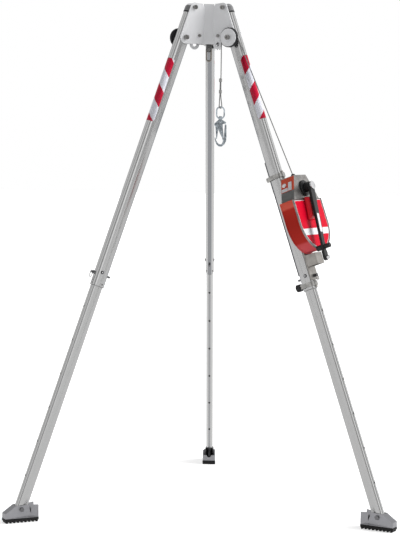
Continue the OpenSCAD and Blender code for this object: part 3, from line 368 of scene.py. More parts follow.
def paintBandLightAndShade():
    tree = materials["redBand"].node_tree
    shader = tree.nodes["Principled BSDF"]
    aged = shader.inputs["Base Color"].links[0].from_socket
    height = addNode(tree, "ShaderNodeSeparateXYZ", {0: localPlace(tree, winchLeg)}).outputs[2]
    # painted light and shade: the band is coloured lighter and darker by height along the leg
    litAndShadedTones = addNode(tree, "ShaderNodeValToRGB", {0: rangeNode(tree, height, bandLightAndShade["low"], bandLightAndShade["high"])})
    fillRamp(litAndShadedTones, [(spot, rgba(tone)) for spot, tone in bandLightAndShade["litAndShadedTones"]])
    toned = blendColor(tree, bandLightAndShade["strength"], aged, litAndShadedTones.outputs[0])
    tree.links.new(toned, shader.inputs["Base Color"])


paintBandLightAndShade()
print("materials:", len(bpy.data.materials))


# piece helpers
hair = 0.0001  # gap that keeps a thin sheet off the metal under it


def addPiece(name, bm, material, body):
    mesh = bpy.data.meshes.new(name)
    bm.to_mesh(mesh)
    bm.free()
    mesh.materials.append(material)
    piece = bpy.data.objects.new(name, mesh)
    bpy.context.scene.collection.objects.link(piece)
    if body:  # a piece without one is left unattached
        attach(piece, body)
    return piece


def cleanUp(bm):
    bmesh.ops.remove_doubles(bm, verts=bm.verts, dist=1e-6)
    bmesh.ops.recalc_face_normals(bm, faces=bm.faces)


def markSharp(bm, angle=35):
    for face in bm.faces:
        face.smooth = True
    limit = math.radians(angle)
    for edge in bm.edges:
        edge.smooth = len(edge.link_faces) == 2 and edge.calc_face_angle(0) < limit


def weighEdges(bm, width, angle=35, spare=2.2):  # only edges whose faces are wide enough take the rounding
    weights = bm.edges.layers.float.new("bevel_weight_edge")
    for edge in bm.edges:
        if len(edge.link_faces) == 2 and edge.calc_face_angle(0) > math.radians(angle):
            room = min(face.calc_area() for face in edge.link_faces) / edge.calc_length()
            edge[weights] = 1.0 if room > spare * width else 0.0


def softenEdges(piece, width):
    bevel = piece.modifiers.new("edges", "BEVEL")
    bevel.width = width
    bevel.segments = 2
    bevel.limit_method = "WEIGHT"
    bevel.use_clamp_overlap = False
    bevel.loop_slide = False
    even = piece.modifiers.new("even", "WEIGHTED_NORMAL")
    even.keep_sharp = True


def turnedShape(profile, steps):  # radius and height pairs, spun about Z
    bm = bmesh.new()
    points = [bm.verts.new((radius, 0, height)) for radius, height in profile]
    edges = [bm.edges.new(pair) for pair in zip(points, points[1:])]
    bmesh.ops.spin(bm, geom=points + edges, cent=(0, 0, 0), axis=(0, 0, 1), dvec=(0, 0, 0), angle=math.tau,
                   steps=steps, use_merge=True, use_duplicate=False)
    cleanUp(bm)
    markSharp(bm)
    return bm


def flatSheet(points):  # one flat face, drawn in X and Y
    bm = bmesh.new()
    bm.faces.new([bm.verts.new((x, y, 0)) for x, y in points])
    return bm


def roundCorners(bm, corner, segments):
    bmesh.ops.bevel(bm, geom=bm.verts[:], offset=corner, offset_type="OFFSET", affect="VERTICES",
                    segments=segments, profile=0.5, material=-1)


def cutSheet(bm, point, normal, **cleared):
    bmesh.ops.bisect_plane(bm, geom=bm.verts[:] + bm.edges[:] + bm.faces[:], plane_co=point, plane_no=normal,
                           **cleared)


def raiseSheet(bm, thickness):
    raised = bmesh.ops.extrude_face_region(bm, geom=bm.faces[:])
    moved = [item for item in raised["geom"] if isinstance(item, bmesh.types.BMVert)]
    bmesh.ops.translate(bm, verts=moved, vec=(0, 0, thickness))
    cleanUp(bm)


def bevelSharp(bm, width, angle=60):
    edges = [edge for edge in bm.edges if edge.calc_face_angle(0) > math.radians(angle)]
    bmesh.ops.bevel(bm, geom=edges, offset=width, offset_type="OFFSET", affect="EDGES", segments=1,
                    profile=0.5, material=-1, clamp_overlap=True)


def joinAt(target, source, matrix):  # adds one bmesh to another, at a place
    mesh = bpy.data.meshes.new("joining")
    bmesh.ops.transform(source, matrix=matrix, verts=source.verts)
    source.to_mesh(mesh)
    source.free()
    target.from_mesh(mesh)
    bpy.data.meshes.remove(mesh)


# CAD nodes: rounded edges on a merged copy, which stands for the node
edgeWidths = {
    "front_head_plate": ("headPlate", 0.0007), "left_head_plate": ("headPlate", 0.0007),
    "right_head_plate": ("headPlate", 0.0007), "sheave_discs": ("headPlate", 0.0008),
    "anchor_hub": ("darkSteel", 0.0008), "anchor_pin": ("zincBolt", 0.0005),
    "hook_body": ("zincForging", 0.0024), "hook_gate": ("zincForging", 0.0005),
    "winch_bracket": ("bracketPlate", 0.0007), "leg_straps": ("strapSteel", 0.0006),
    "clamp_knob": ("blackPlastic", 0.0010), "backing_strip": ("blackPlastic", 0.0010),
    "winch_housing": ("redBand", 0.0010), "winch_cover": ("castMetal", 0.0012),
    "outlet_block": ("castMetal", 0.0015), "cable_nozzle": ("blackPlastic", 0.0006),
    "gear_casing": ("blackPaint", 0.0020), "brake_cover": ("redCover", 0.0025),
    "crank_arm": ("blackPaint", 0.0018), "crank_grip": ("blackPlastic", 0.0020),
    "pivot_bolts": ("zincBolt", 0.0007), "plate_bolts": ("zincBolt", 0.0006),
    "hook_lever": ("zincForging", 0.0016),
}
for side in sides:
    edgeWidths[side + "_leg_cap"] = ("greyCap", 0.0012)
    edgeWidths[side + "_knee_guide"] = ("greyGuide", 0.0004)
    edgeWidths[side + "_foot_bracket"] = ("footSheet", 0.0006)
    edgeWidths[side + "_foot_sole"] = ("soleRubber", 0.0014)
    edgeWidths[side + "_foot_bolt"] = ("pinSteel", 0.0006)
    edgeWidths[side + "_lock_pin"] = ("pinSteel", 0.0004)
    edgeWidths[side + "_upper_leg"] = ("legTube", 0.0004)
    edgeWidths[side + "_lower_leg"] = ("legTube", 0.0002)

nodeBody = {node: body for body, members in frame["record"]["behaviour"]["bodies"].items()
            for node in members}


def dressNode(node, material, width, crease, merge):
    bm = bmesh.new()
    bm.from_mesh(nodes[node].data)
    bmesh.ops.remove_doubles(bm, verts=bm.verts, dist=2e-6)
    bmesh.ops.dissolve_limit(bm, angle_limit=math.radians(merge), verts=bm.verts, edges=bm.edges)
    weighEdges(bm, width)
    bmesh.ops.connect_verts_concave(bm, faces=bm.faces)  # no face folds back on itself
    markSharp(bm, crease)
    piece = addPiece(node + ".dressed", bm, material, nodeBody[node])
    softenEdges(piece, width)
    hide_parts(node)


sheetAngles = {"crease": 4, "merge": 0.02}  # folded sheet keeps its crisp folds
solidAngles = {"crease": 35, "merge": 0.5}
sidedMaterials = {"footSheet": footMaterials, "legTube": tubeMaterials}
for node, (finish, width) in edgeWidths.items():
    sided = sidedMaterials.get(finish)
    material = sided[node.split("_")[0]] if sided else materials[finish]
    dressNode(node, material, width, **(sheetAngles if finish == "headPlate" else solidAngles))
plainNodes = {"cable_drum": "gearSteel", "drive_pinion": "gearSteel", "wound_cable": "wireRope",
              "anchor_link": "linkForging", "hook_eye": "zincForging", "lifeline_ferrules": "wireRope",
              "left_sheave": "blackNylon", "right_sheave": "blackNylon", "rear_sheave": "blackNylon"}
for node, finish in plainNodes.items():
    nodes[node].data.materials.clear()
    nodes[node].data.materials.append(materials[finish])
print("nodes dressed:", len(edgeWidths))


# reflective tape on the round face of each upper tube
tape = {"top": {"left": -0.118, "right": -0.100, "rear": -0.109}, "length": 0.314, "wrapPast": 0.006,
        "thick": 0.00035, "lift": 0.00005, "corner": 0.013, "cornerSteps": 8, "cuts": 26, "stripe": 0.075,
        "firstRed": 0.053, "red": ((0.38, 0.004, 0.026), (0.52, 0.005, 0.036)),
        "white": ((0.62, 0.62, 0.68), (0.76, 0.77, 0.84)), "cells": 330.0, "uneven": 0.15, "rough": 0.42,
        "patch": 20, "specular": 0.2, "bump": 0.12}


def makeTapeMaterial():
    material, tree, shader = startMaterial("reflectiveTape")
    uv = addNode(tree, "ShaderNodeUVMap", uv_map="tapeUv").outputs[0]
    split = addNode(tree, "ShaderNodeSeparateXYZ", {0: uv}).outputs
    slanted = mathNode(tree, "SUBTRACT", split[1], split[0])
    shifted = mathNode(tree, "ADD", slanted, tape["stripe"] - tape["firstRed"])
    turns = mathNode(tree, "DIVIDE", shifted, 2 * tape["stripe"])
    isWhite = mathNode(tree, "GREATER_THAN", mathNode(tree, "FRACT", turns), 0.5)
    cells = addNode(tree, "ShaderNodeTexVoronoi", {"Vector": uv, "Scale": tape["cells"],
                                                   "Randomness": tape["uneven"]}, feature="DISTANCE_TO_EDGE")
    lattice = rangeNode(tree, cells.outputs[0], 0.02, 0.09)
    aged = addNode(tree, "ShaderNodeGroup", {"Place": localPlace(tree), "Roughness": tape["rough"],
                                             "Patch Scale": tape["patch"]}, node_tree=agedGroup)
    red, white = (blendColor(tree, lattice, *map(rgba, tape[key])) for key in ("red", "white"))
    bump = addNode(tree, "ShaderNodeBump", {"Strength": tape["bump"], "Distance": 0.0003, "Height": lattice})
    setInputs(tree, shader, {
        "Base Color": blendColor(tree, isWhite, red, white), "Roughness": aged.outputs["Roughness"],
        "Specular IOR Level": tape["specular"], "Normal": bump.outputs[0]})
    return material


tapeMaterial = makeTapeMaterial()


def tapePoint(arc, lift):  # a point on the tube's round face, by its length round from the outer line
    radius = tube["width"] / 2
    quarter = radius * math.pi / 2
    if abs(arc) <= quarter:
        angle = arc / radius
        return (tube["roundX"] + (radius + lift) * math.cos(angle), (radius + lift) * math.sin(angle))
    past = abs(arc) - quarter
    return (tube["roundX"] - past, math.copysign(radius + lift, arc))


def cutAcross(bm, half, cuts):  # even cuts, so that a flat sheet can bend
    for step in range(1, cuts):
        cutSheet(bm, (-half + 2 * half * step / cuts, 0, 0), (1, 0, 0))


def wrapTube(bm, side, base, up, lift):  # bends a flat sheet round the tube, its Y along the leg
    for vert in bm.verts:
        x, y = tapePoint(vert.co.x, lift)
        vert.co = legs[side] @ Vector((x, y, base + up * vert.co.y))
    for face in bm.faces:
        face.smooth = True
    bmesh.ops.recalc_face_normals(bm, faces=bm.faces)
    middle = legs[side] @ Vector((tube["roundX"], 0, base))
    if sum((face.calc_center_median() - middle).dot(face.normal) for face in bm.faces) < 0:
        bmesh.ops.reverse_faces(bm, faces=bm.faces)


def thickenSheet(piece, thickness):
    thick = piece.modifiers.new("thickness", "SOLIDIFY")
    thick.thickness = thickness
    thick.offset = 1


def makeTape(side):
    half = tube["width"] / 2 * math.pi / 2 + tape["wrapPast"]
    length = tape["length"]
    hand = -1 if side == "right" else 1  # the stripes run down towards the front on both front legs
    bm = flatSheet([(-half, 0), (half, 0), (half, length), (-half, length)])
    roundCorners(bm, tape["corner"], tape["cornerSteps"])
    cutAcross(bm, half, tape["cuts"])
    uvLayer = bm.loops.layers.uv.new("tapeUv")
    for face in bm.faces:
        for loop in face.loops:
            loop[uvLayer].uv = (hand * loop.vert.co.x, loop.vert.co.y)
    wrapTube(bm, side, tape["top"][side], -1, tape["lift"])
    piece = addPiece(side + "LegTape", bm, tapeMaterial, side + "_leg")
    thickenSheet(piece, tape["thick"])


for side in sides:
    makeTape(side)
print("tape on", len(sides), "legs")


# wire rope: strands laid round each other, bent along the lifeline's route
rope = {"diameter": 0.005, "strands": 6, "lay": 0.034, "step": 0.0030, "facets": 6}


def alongPath(path, distance):
    for start, end in zip(path, path[1:]):
        span = (end - start).length
        if distance <= span:
            return start + (end - start) * (distance / span), (end - start).normalized()
        distance -= span
    return path[-1] + (path[-1] - path[-2]).normalized() * distance, (path[-1] - path[-2]).normalized()


def pathLength(path):
    return sum((end - start).length for start, end in zip(path, path[1:]))


def finePath(path, count=24):
    return [tuple(alongPath(path, pathLength(path) * step / count)[0]) for step in range(count + 1)]


def laidRope(name, path, sideways, body):
    bm = bmesh.new()
    strandRadius = rope["diameter"] / 6
    for strand in range(rope["strands"]):
        angle = math.tau * strand / rope["strands"]
        spot = place(2 * strandRadius * math.cos(angle), 2 * strandRadius * math.sin(angle), 0)
        bmesh.ops.create_circle(bm, segments=rope["facets"], radius=strandRadius, matrix=spot)
    edges = bm.edges[:]
    length = pathLength(path)
    count = max(2, round(length / rope["step"]))
    twist = Matrix.Rotation(math.tau * length / count / rope["lay"], 4, "Z")
    for _ in range(count):
        pulled = bmesh.ops.extrude_edge_only(bm, edges=edges)["geom"]
        verts = [item for item in pulled if isinstance(item, bmesh.types.BMVert)]
        edges = [item for item in pulled if isinstance(item, bmesh.types.BMEdge)]
        bmesh.ops.transform(bm, matrix=Matrix.Translation((0, 0, length / count)) @ twist, verts=verts)
    bmesh.ops.holes_fill(bm, edges=[edge for edge in bm.edges if edge.is_boundary])
    bmesh.ops.recalc_face_normals(bm, faces=bm.faces)
    for vert in bm.verts:
        point, ahead = alongPath(path, vert.co.z)
        across = ahead.cross(sideways).normalized()
        vert.co = point + across * vert.co.x + across.cross(-ahead) * vert.co.y
    bmesh.ops.recalc_face_normals(bm, faces=bm.faces)
    for face in bm.faces:
        face.smooth = True
    return addPiece(name, bm, materials["wireRope"], body)


winch = {"drumZ": -0.954, "back": 0.044, "front": 0.121, "radius": 0.132, "blockBase": 0.112,
         "blockTop": 0.229, "blockHalfBase": 0.118, "blockHalfTop": 0.056, "nozzleX": 0.084,
         "shaftUp": 0.16275, "crank": 0.300, "crankTurn": 11, "crankFace": 0.164}
lifeline = {"pitchRadius": 0.042, "sheaveY": -0.043, "feedUp": 0.002, "wrapSteps": 24, "drop": 0.184,
            "strandGap": 0.0056, "loopHeight": 0.148, "loopRadius": 0.0105, "loopYaw": 54}
pivotZ = jointPoint("right_leg_fold").z


def makeLifeline():
    feedZ = winch["drumZ"] + winch["blockTop"] + lifeline["feedUp"]
    across = winch["nozzleX"] + tube["axisOffset"]
    radius = lifeline["pitchRadius"]
    touch = math.atan2(across, -feedZ) + math.asin(radius / math.hypot(across, feedZ))
    runTop = Vector((radius * math.cos(touch) - tube["axisOffset"], lifeline["sheaveY"],
                     radius * math.sin(touch)))
    runStart = Vector((winch["nozzleX"], 0, feedZ))
    runPath = [winchLeg @ runStart, winchLeg @ runTop]
    upward = jointAxis("right_leg_slide")
    splay = math.atan2(-upward.dot(arms["right"].to_3x3() @ Vector((1, 0, 0))), upward.z)
    reach = (jointPoint("right_leg_fold") - tripodAxis).xy.length
    hub = Vector((reach, lifeline["sheaveY"], pivotZ))
    first = touch + splay
    wrapPath = []
    for step in range(lifeline["wrapSteps"] + 1):
        angle = first + (math.pi - first) * step / lifeline["wrapSteps"]
        wrapPath.append(arms["right"] @ (hub + radius * Vector((math.cos(angle), 0, math.sin(angle)))))
    dropTop = wrapPath[-1]
    dropEnd = dropTop - Vector((0, 0, lifeline["drop"]))
    sheaveAxis = arms["right"].to_3x3() @ Vector((0, 1, 0))
    run = laidRope("lifelineRun", runPath, winchLeg.to_3x3() @ Vector((0, 1, 0)), "right_leg")
    wrap = laidRope("lifelineWrap", wrapPath, sheaveAxis, "head")
    drop = laidRope("lifelineDrop", [dropTop, dropEnd], sheaveAxis, None)
    turn = Matrix.Rotation(math.radians(lifeline["loopYaw"]), 3, "Z")
    gap, bend = lifeline["strandGap"], lifeline["loopRadius"]
    low = -lifeline["loopHeight"]
    route = [(0, 0), (0, -0.040), (0, -0.080), (0.002, -0.100)]  # down, round the eye and up again
    for degrees in range(0, 181, 15):
        angle = math.radians(degrees)
        route.append((bend * math.cos(angle), low + bend * (1 - math.sin(angle))))
    route += [(-0.008, -0.100), (-gap, -0.080), (-gap, -0.040), (-gap, -0.006)]
    loopPath = [dropEnd + turn @ Vector((x, 0, 0)) + Vector((0, 0, z)) for x, z in route]
    loop = laidRope("lifelineLoop", loopPath, turn @ Vector((0, 1, 0)), "rope_end")
    for piece, node in ((run, "lifeline_run"), (wrap, "lifeline_wrap"), (drop, "lifeline_drop"),
                        (loop, "lifeline_loop")):
        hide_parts(node)
    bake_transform(drop)
    finePath(runPath)
    finePath([dropTop, dropEnd])
    finePath(loopPath, 60)
    print("lifeline:", [round(pathLength(path), 3) for path in (runPath, wrapPath, loopPath)])


makeLifeline()


# fittings: screws, rivets, washers and plates on the frame
def screwShape(radius, height, socket=True):  # domed head on Z, with a hexagon socket
    bm = turnedShape([(0, 0), (radius, 0), (radius, height * 0.45), (radius * 0.9, height * 0.8),
                      (radius * 0.62, height), (0, height)], steps=20)
    if socket:
        pit = bmesh.ops.create_circle(bm, segments=6, radius=radius * 0.42, cap_ends=True,
                                      matrix=place(0, 0, height + 0.00003))
        face = pit["verts"][0].link_faces[0]
        bmesh.ops.inset_individual(bm, faces=[face], thickness=radius * 0.05, depth=0)
        bmesh.ops.translate(bm, verts=face.verts[:], vec=(0, 0, -height * 0.25))
    return bm


def ringShape(inner, outer, height):
    edge = min(0.0006, height * 0.3)
    return turnedShape([(inner, 0), (outer, 0), (outer, height - edge), (outer - edge, height),
                        (inner + edge, height), (inner, height - edge), (inner, 0)], steps=28)


def addFitting(name, parts, material, body):  # several small shapes as one piece
    bm = bmesh.new()
    for shape, matrix in parts:
        joinAt(bm, shape, matrix)
    addPiece(name, bm, material, body)


knee = {"washer": 0.0080, "washerThick": 0.0018, "screw": (0.0036, 0.0034), "screwOut": 0.004,
        "screwUp": 0.010, "taper": (0.013, 0.0305), "taperRivet": (0.0040, 0.0017), "taperOut": -0.018,
        "taperIn": 0.0065, "taperUp": 0.012, "rivet": (0.0030, 0.0015), "rivetUp": (0.008, 0.021),
        "rivetTurn": 22, "sink": 0.0002}


def dressKnee(side):
    leg, body = legs[side], side + "_leg"
    low, half = tube["upperBottom"], tube["width"] / 2
    screwZ = low + tube["pinUp"] + knee["screwUp"]
    taper = math.atan2(*knee["taper"])
    washers, screws, rivets = [], [], []
    for hand, turn in ((1, toY), (-1, toMinusY)):
        spot = leg @ place(knee["screwOut"], hand * half, screwZ) @ turn
        washers.append((ringShape(knee["screw"][0] * 0.8, knee["washer"], knee["washerThick"]), spot))
        screws.append((screwShape(*knee["screw"]), spot))
        spot = leg @ place(knee["taperOut"], hand * (half - knee["taperIn"]), low + knee["taperUp"])
        spot = spot @ Matrix.Rotation(hand * taper, 4, "Z") @ turn
        rivets.append((screwShape(*knee["taperRivet"], False), spot))
    if side != "right":  # the bracket covers this face on the winch leg
        turn = Matrix.Rotation(math.radians(knee["rivetTurn"]), 4, "Z")
        for up in knee["rivetUp"]:
            spot = leg @ place(tube["roundX"], 0, low + up) @ turn @ place(half - knee["sink"], 0, 0) @ toX
            rivets.append((screwShape(*knee["rivet"], False), spot))
    addFitting(side + "KneeWashers", washers, materials["blackNylon"], body)
    addFitting(side + "KneeScrews", screws, materials["nutSteel"], body)
    addFitting(side + "KneeRivets", rivets, materials["darkSteel"], body)


capDarkBand = {"height": 0.0065, "drop": 0.0155, "thick": 0.0019, "reach": 0.027, "cuts": 20}


def makeCapDarkBand(side):  # dark band under the cap's skirt
    reach, height = capDarkBand["reach"], capDarkBand["height"]
    low = tube["upperTop"] - capDarkBand["drop"] - height
    bm = flatSheet([(-reach, 0), (reach, 0), (reach, height), (-reach, height)])
    cutAcross(bm, reach, capDarkBand["cuts"])
    wrapTube(bm, side, low, 1, hair)
    piece = addPiece(side + "CapDarkBand", bm, materials["blackNylon"], side + "_leg")
    thickenSheet(piece, capDarkBand["thick"])


for side in sides:
    dressKnee(side)
    makeCapDarkBand(side)
print("knees and caps dressed")


# winch: face plates, shoulder panels, crank patch and screws
toFace = Matrix(((0, 0, 1, 0), (1, 0, 0, 0), (0, 1, 0, 0), (0, 0, 0, 1)))  # drawn X, Y to the leg's Y, Z
facePlate = {"lift": 0.0031, "whiteInset": 0.0060, "redInset": 0.0085, "stripe": (-0.061, -0.030),
             "thick": 0.0007, "overlap": 0.9, "screw": (0.0024, 0.0016), "screwUps": (0.045, 0.095),
             "screwTurns": (186, 222, 258, 294, 330, 354), "screwSink": 0.0002}


def faceOutline(inset):
    radius = winch["radius"] - inset
    top = winch["blockBase"] - inset
    angles = [math.radians(degrees) for degrees in range(180, 361, 5)]
    bottom = [(radius * math.cos(angle), radius * math.sin(angle)) for angle in angles]
    return bottom + [(radius, top), (-radius, top)]


def faceSheet(inset, low, high):  # the cover's outline between two heights
    bm = flatSheet(faceOutline(inset))
    if low is not None:
        cutSheet(bm, (0, low, 0), (0, 1, 0), clear_inner=True)
    if high is not None:
        cutSheet(bm, (0, high, 0), (0, 1, 0), clear_outer=True)
    raiseSheet(bm, facePlate["thick"])
    markSharp(bm)
    return bm


def roundedPlate(width, height, thickness, corner):
    halfW, halfH = width / 2, height / 2
    bm = flatSheet([(-halfW, -halfH), (halfW, -halfH), (halfW, halfH), (-halfW, halfH)])
    roundCorners(bm, corner, 5)
    raiseSheet(bm, thickness)
    bevelSharp(bm, min(thickness * 0.35, 0.0004))
    markSharp(bm)
    return bm


def dressWinchFace():
    base = winchLeg @ place(winch["front"] - facePlate["lift"] + hair, 0, winch["drumZ"]) @ toFace
    raised = base @ place(0, 0, facePlate["thick"] * facePlate["overlap"])
    border = faceSheet(facePlate["whiteInset"], None, None)
    addFitting("faceBorder", [(border, base)], materials["whiteVinyl"], "right_leg")
    low, high = facePlate["stripe"]
    fields = [faceSheet(facePlate["redInset"], high, None), faceSheet(facePlate["redInset"], None, low)]
    addFitting("faceField", [(field, raised) for field in fields], materials["redVinyl"], "right_leg")
    rim = winch["radius"] + hair
    angles = [math.radians(turn) for turn in facePlate["screwTurns"]]
    spots = [(rim * math.cos(angle), rim * math.sin(angle)) for angle in angles]
    spots += [(hand * rim, up) for up in facePlate["screwUps"] for hand in (-1, 1)]
    screwX = winch["front"] - facePlate["screwSink"]
    screws = []
    for y, z in spots:
        spot = winchLeg @ place(screwX, y, winch["drumZ"] + z) @ toX
        screws.append((screwShape(*facePlate["screw"]), spot))
    addFitting("coverScrews", screws, materials["nutSteel"], "right_leg")


shoulder = {"margin": 0.0035, "red": (0.055, 0.1290), "redThick": 0.0012, "redCorner": 0.003,
            "grey": (0.003, 0.0535), "greyThick": 0.0016, "greyCorner": 0.002, "innerShare": (0.74, 0.62),
            "innerThick": 0.0010, "blankThick": 0.0006, "blankCorner": 0.0012,
            "blanks": [((0.033, 0.017), (-0.016, 0.066)), ((0.019, 0.045), (0.013, 0.080))],
            "collar": (0.0045, 0.0105, 0.0022), "button": (0.0080, 0.0055), "buttonAt": (-0.018, 0.092),
            "screw": (0.0022, 0.0014), "screwIn": 0.005}


def dressShoulders():
    rise = winch["blockTop"] - winch["blockBase"]
    narrow = winch["blockHalfBase"] - winch["blockHalfTop"]
    slope = math.hypot(rise, narrow)
    back, front = winch["back"] + shoulder["margin"], winch["front"] - shoulder["margin"]
    middle, width = (back + front) / 2, front - back
    redLow, redHigh = shoulder["red"]
    redTop = shoulder["redThick"] + hair
    greyLow, greyHigh = shoulder["grey"]
    greyTop = shoulder["greyThick"]
    greyMiddle, greyHeight = (greyLow + greyHigh) / 2, greyHigh - greyLow
    wide, tall = shoulder["innerShare"]
    screwIn = shoulder["screwIn"]
    red, grey, white, buttons, screws = [], [], [], [], []
    for hand in (-1, 1):
        up = Vector((0, -hand * narrow / slope, rise / slope))
        out = Vector((0, hand * rise / slope, narrow / slope))
        across = up.cross(out)
        basis = Matrix((across, up, out)).transposed().to_4x4()
        corner = place(middle, hand * winch["blockHalfBase"], winch["drumZ"] + winch["blockBase"])
        foot = winchLeg @ corner @ basis
        sideways = 1 if across.x > 0 else -1
        panel = roundedPlate(width, redHigh - redLow, shoulder["redThick"], shoulder["redCorner"])
        red.append((panel, foot @ place(0, (redLow + redHigh) / 2, hair)))
        plate = roundedPlate(width, greyHeight, greyTop, shoulder["greyCorner"])
        grey.append((plate, foot @ place(0, greyMiddle, hair)))
        plate = roundedPlate(width * wide, greyHeight * tall, shoulder["innerThick"], shoulder["greyCorner"])
        grey.append((plate, foot @ place(0, greyMiddle, greyTop)))
        for size, (x, y) in shoulder["blanks"]:
            blank = roundedPlate(*size, shoulder["blankThick"], shoulder["blankCorner"])
            white.append((blank, foot @ place(sideways * x, y, redTop)))
        x, y = shoulder["buttonAt"]
        buttons.append((ringShape(*shoulder["collar"]), foot @ place(sideways * x, y, redTop)))
        buttons.append((screwShape(*shoulder["button"], False), foot @ place(sideways * x, y, redTop + hair)))
        for x in (screwIn - width / 2, width / 2 - screwIn):
            for y in (greyLow + screwIn, greyHigh - screwIn):
                screws.append((screwShape(*shoulder["screw"]), foot @ place(x, y, greyTop)))
    addFitting("shoulderPanels", red, materials["shoulderRed"], "right_leg")
    addFitting("shoulderPlates", grey, materials["greyVinyl"], "right_leg")
    addFitting("shoulderBlanks", white, materials["whiteVinyl"], "right_leg")
    addFitting("shoulderButtons", buttons, materials["nutSteel"], "right_leg")
    addFitting("shoulderScrews", screws, materials["zincBolt"], "right_leg")


crank = {"patch": (0.138, 0.228), "patchWidth": 0.0185, "patchThick": 0.0006, "patchCorner": 0.002,
         "disc": [(0.0142, 0.0002), (0.0195, 0.0002), (0.0195, 0.0052), (0.0185, 0.0066), (0.0120, 0.0072),
                  (0.0115, 0.0064), (0.0040, 0.0064), (0.0036, 0.0072), (0, 0.0072)],
         "tail": (0.0155, 0.0640), "tailWidth": 0.0315, "tailThick": 0.0132, "tailCorner": 0.009,
         "tailTaper": 0.8, "tailProud": 0.0006, "studUp": 0.0110,
         "stud": [(0, 0), (0.0090, 0), (0.0096, 0.0010), (0.0096, 0.0130), (0.0080, 0.0150), (0.0035, 0.0154),
                  (0, 0.0154)]}


def addToCrank(name, shape, matrix, finish):
    addFitting(name, [(shape, matrix)], materials[finish], "crank")


def dressCrank():
    turn = Matrix.Rotation(math.radians(-winch["crankTurn"]), 4, "X")
    hub = winchLeg @ place(0, 0, winch["drumZ"] + winch["shaftUp"]) @ turn
    face, length = winch["crankFace"], winch["crank"]
    start, end = crank["patch"]
    patch = roundedPlate(crank["patchWidth"], end - start, crank["patchThick"], crank["patchCorner"])
    spot = hub @ place(face - hair, 0, -(start + end) / 2) @ toFace
    addToCrank("crankPatch", patch, spot, "whiteVinyl")
    disc = turnedShape(crank["disc"], steps=40)
    addToCrank("crankEndDisc", disc, hub @ place(face, 0, 0) @ toX, "nutSteel")
    start, end = crank["tail"]
    tail = roundedPlate(crank["tailWidth"], end - start, crank["tailThick"], crank["tailCorner"])
    for vert in tail.verts:
        if vert.co.y < 0:
            vert.co.x *= crank["tailTaper"]
    tailBack = face + crank["tailProud"] - crank["tailThick"]
    spot = hub @ place(tailBack, 0, -length - (start + end) / 2) @ toFace
    addToCrank("crankTail", tail, spot, "blackPaint")
    stud = turnedShape(crank["stud"], steps=24)
    spot = hub @ place(face, 0, -length - end + crank["studUp"]) @ toX
    addToCrank("crankTailStud", stud, spot, "nutSteel")


dressWinchFace()
dressShoulders()
dressCrank()
print("winch dressed")


# floor, light and the pale surroundings
studio = {"floor": 40.0, "floorDrop": 0.0005, "floorTone": 0.80, "floorGlow": 0.52, "floorRough": 0.9,
          "floorShine": 0.1, "ambient": 0.24, "ceiling": 0.9, "ceilingFrom": 0.5, "ceilingTo": 0.9}
lamps = {"keySun": {"power": 4.0, "angle": 40, "aim": (-0.89, 0.04, -0.46)},
         "backSun": {"power": 1.1, "angle": 70, "aim": (0.70, -0.60, -0.62)}}
# the room round the tripod: degrees to the right of the front, and how bright the wall is there
roomWalls = [(-180, 1.0), (-164, 1.0), (-156, 0.5), (-146, 0.5), (-134, 0.75), (-118, 1.0), (-104, 1.4),
             (-84, 1.4), (-74, 0.85), (-50, 0.85), (-42, 1.4), (-14, 1.3), (-7, 0.42), (8, 0.42), (16, 1.2),
             (29, 2.1), (43, 2.1), (52, 0.58), (76, 0.58), (86, 1.7), (112, 1.7), (124, 1.35), (138, 1.35),
             (148, 0.5), (156, 0.5), (164, 1.0), (180, 1.0)]


def seenDirectly(tree):  # 1 for what the camera, a mirror or glass shows
    rays = addNode(tree, "ShaderNodeLightPath").outputs
    shown = mathNode(tree, "MAXIMUM", rays["Is Camera Ray"], rays["Is Glossy Ray"])
    return mathNode(tree, "MAXIMUM", shown, rays["Is Transmission Ray"])


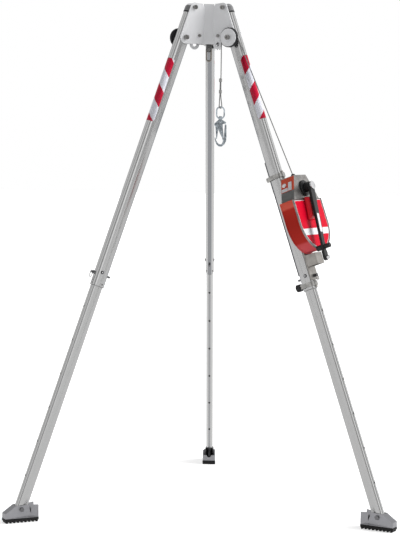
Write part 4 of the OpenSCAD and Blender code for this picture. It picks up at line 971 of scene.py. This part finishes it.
def makeFloor():
    bm = bmesh.new()
    bmesh.ops.create_grid(bm, x_segments=1, y_segments=1, size=studio["floor"])
    bmesh.ops.translate(bm, verts=bm.verts, vec=(0, 0, -studio["floorDrop"]))
    mesh = bpy.data.meshes.new("studioFloor")
    bm.to_mesh(mesh)
    bm.free()
    floor = bpy.data.objects.new("studioFloor", mesh)
    bpy.context.scene.collection.objects.link(floor)
    material, tree, shader = startMaterial("studioFloor")
    glow = mathNode(tree, "MULTIPLY", seenDirectly(tree), studio["floorGlow"])
    setInputs(tree, shader, {
        "Base Color": evenTone(studio["floorTone"]), "Roughness": studio["floorRough"],
        "Specular IOR Level": studio["floorShine"], "Emission Color": evenTone(1), "Emission Strength": glow})
    mesh.materials.append(material)


def makeRoom():
    world = bpy.data.worlds.new("studioWorld")
    bpy.context.scene.world = world
    world.use_nodes = True
    tree = world.node_tree
    coords = addNode(tree, "ShaderNodeTexCoord").outputs["Generated"]
    way = addNode(tree, "ShaderNodeSeparateXYZ", {0: coords}).outputs
    front = mathNode(tree, "MULTIPLY", way[1], -1.0)
    turn = mathNode(tree, "ARCTAN2", way[0], front)
    share = mathNode(tree, "MULTIPLY_ADD", turn, 1 / math.tau, 0.5)
    walls = addNode(tree, "ShaderNodeValToRGB", {0: share})
    fillRamp(walls, [((angle + 180) / 360, evenTone(level)) for angle, level in roomWalls])
    above = rangeNode(tree, way[2], studio["ceilingFrom"], studio["ceilingTo"])
    room = blendColor(tree, above, walls.outputs[0], evenTone(studio["ceiling"]))
    shown = blendColor(tree, seenDirectly(tree), evenTone(studio["ambient"]), room)
    backdrop = addNode(tree, "ShaderNodeLightPath").outputs["Is Camera Ray"]
    whole = blendColor(tree, backdrop, shown, evenTone(1))
    tree.links.new(whole, tree.nodes["Background"].inputs["Color"])


def addSun(name, power, angle, aim):
    data = bpy.data.lights.new(name, "SUN")
    data.energy = power
    data.angle = math.radians(angle)
    lamp = bpy.data.objects.new(name, data)
    lamp.rotation_mode = "QUATERNION"
    lamp.rotation_quaternion = Vector(aim).to_track_quat("-Z", "Y")
    lamp.visible_glossy = False  # bright metal shows the room, not a lamp
    bpy.context.scene.collection.objects.link(lamp)


makeFloor()
makeRoom()
for name, lamp in lamps.items():
    addSun(name, **lamp)
bpy.context.scene.view_settings.view_transform = "Standard"
print("studio set")
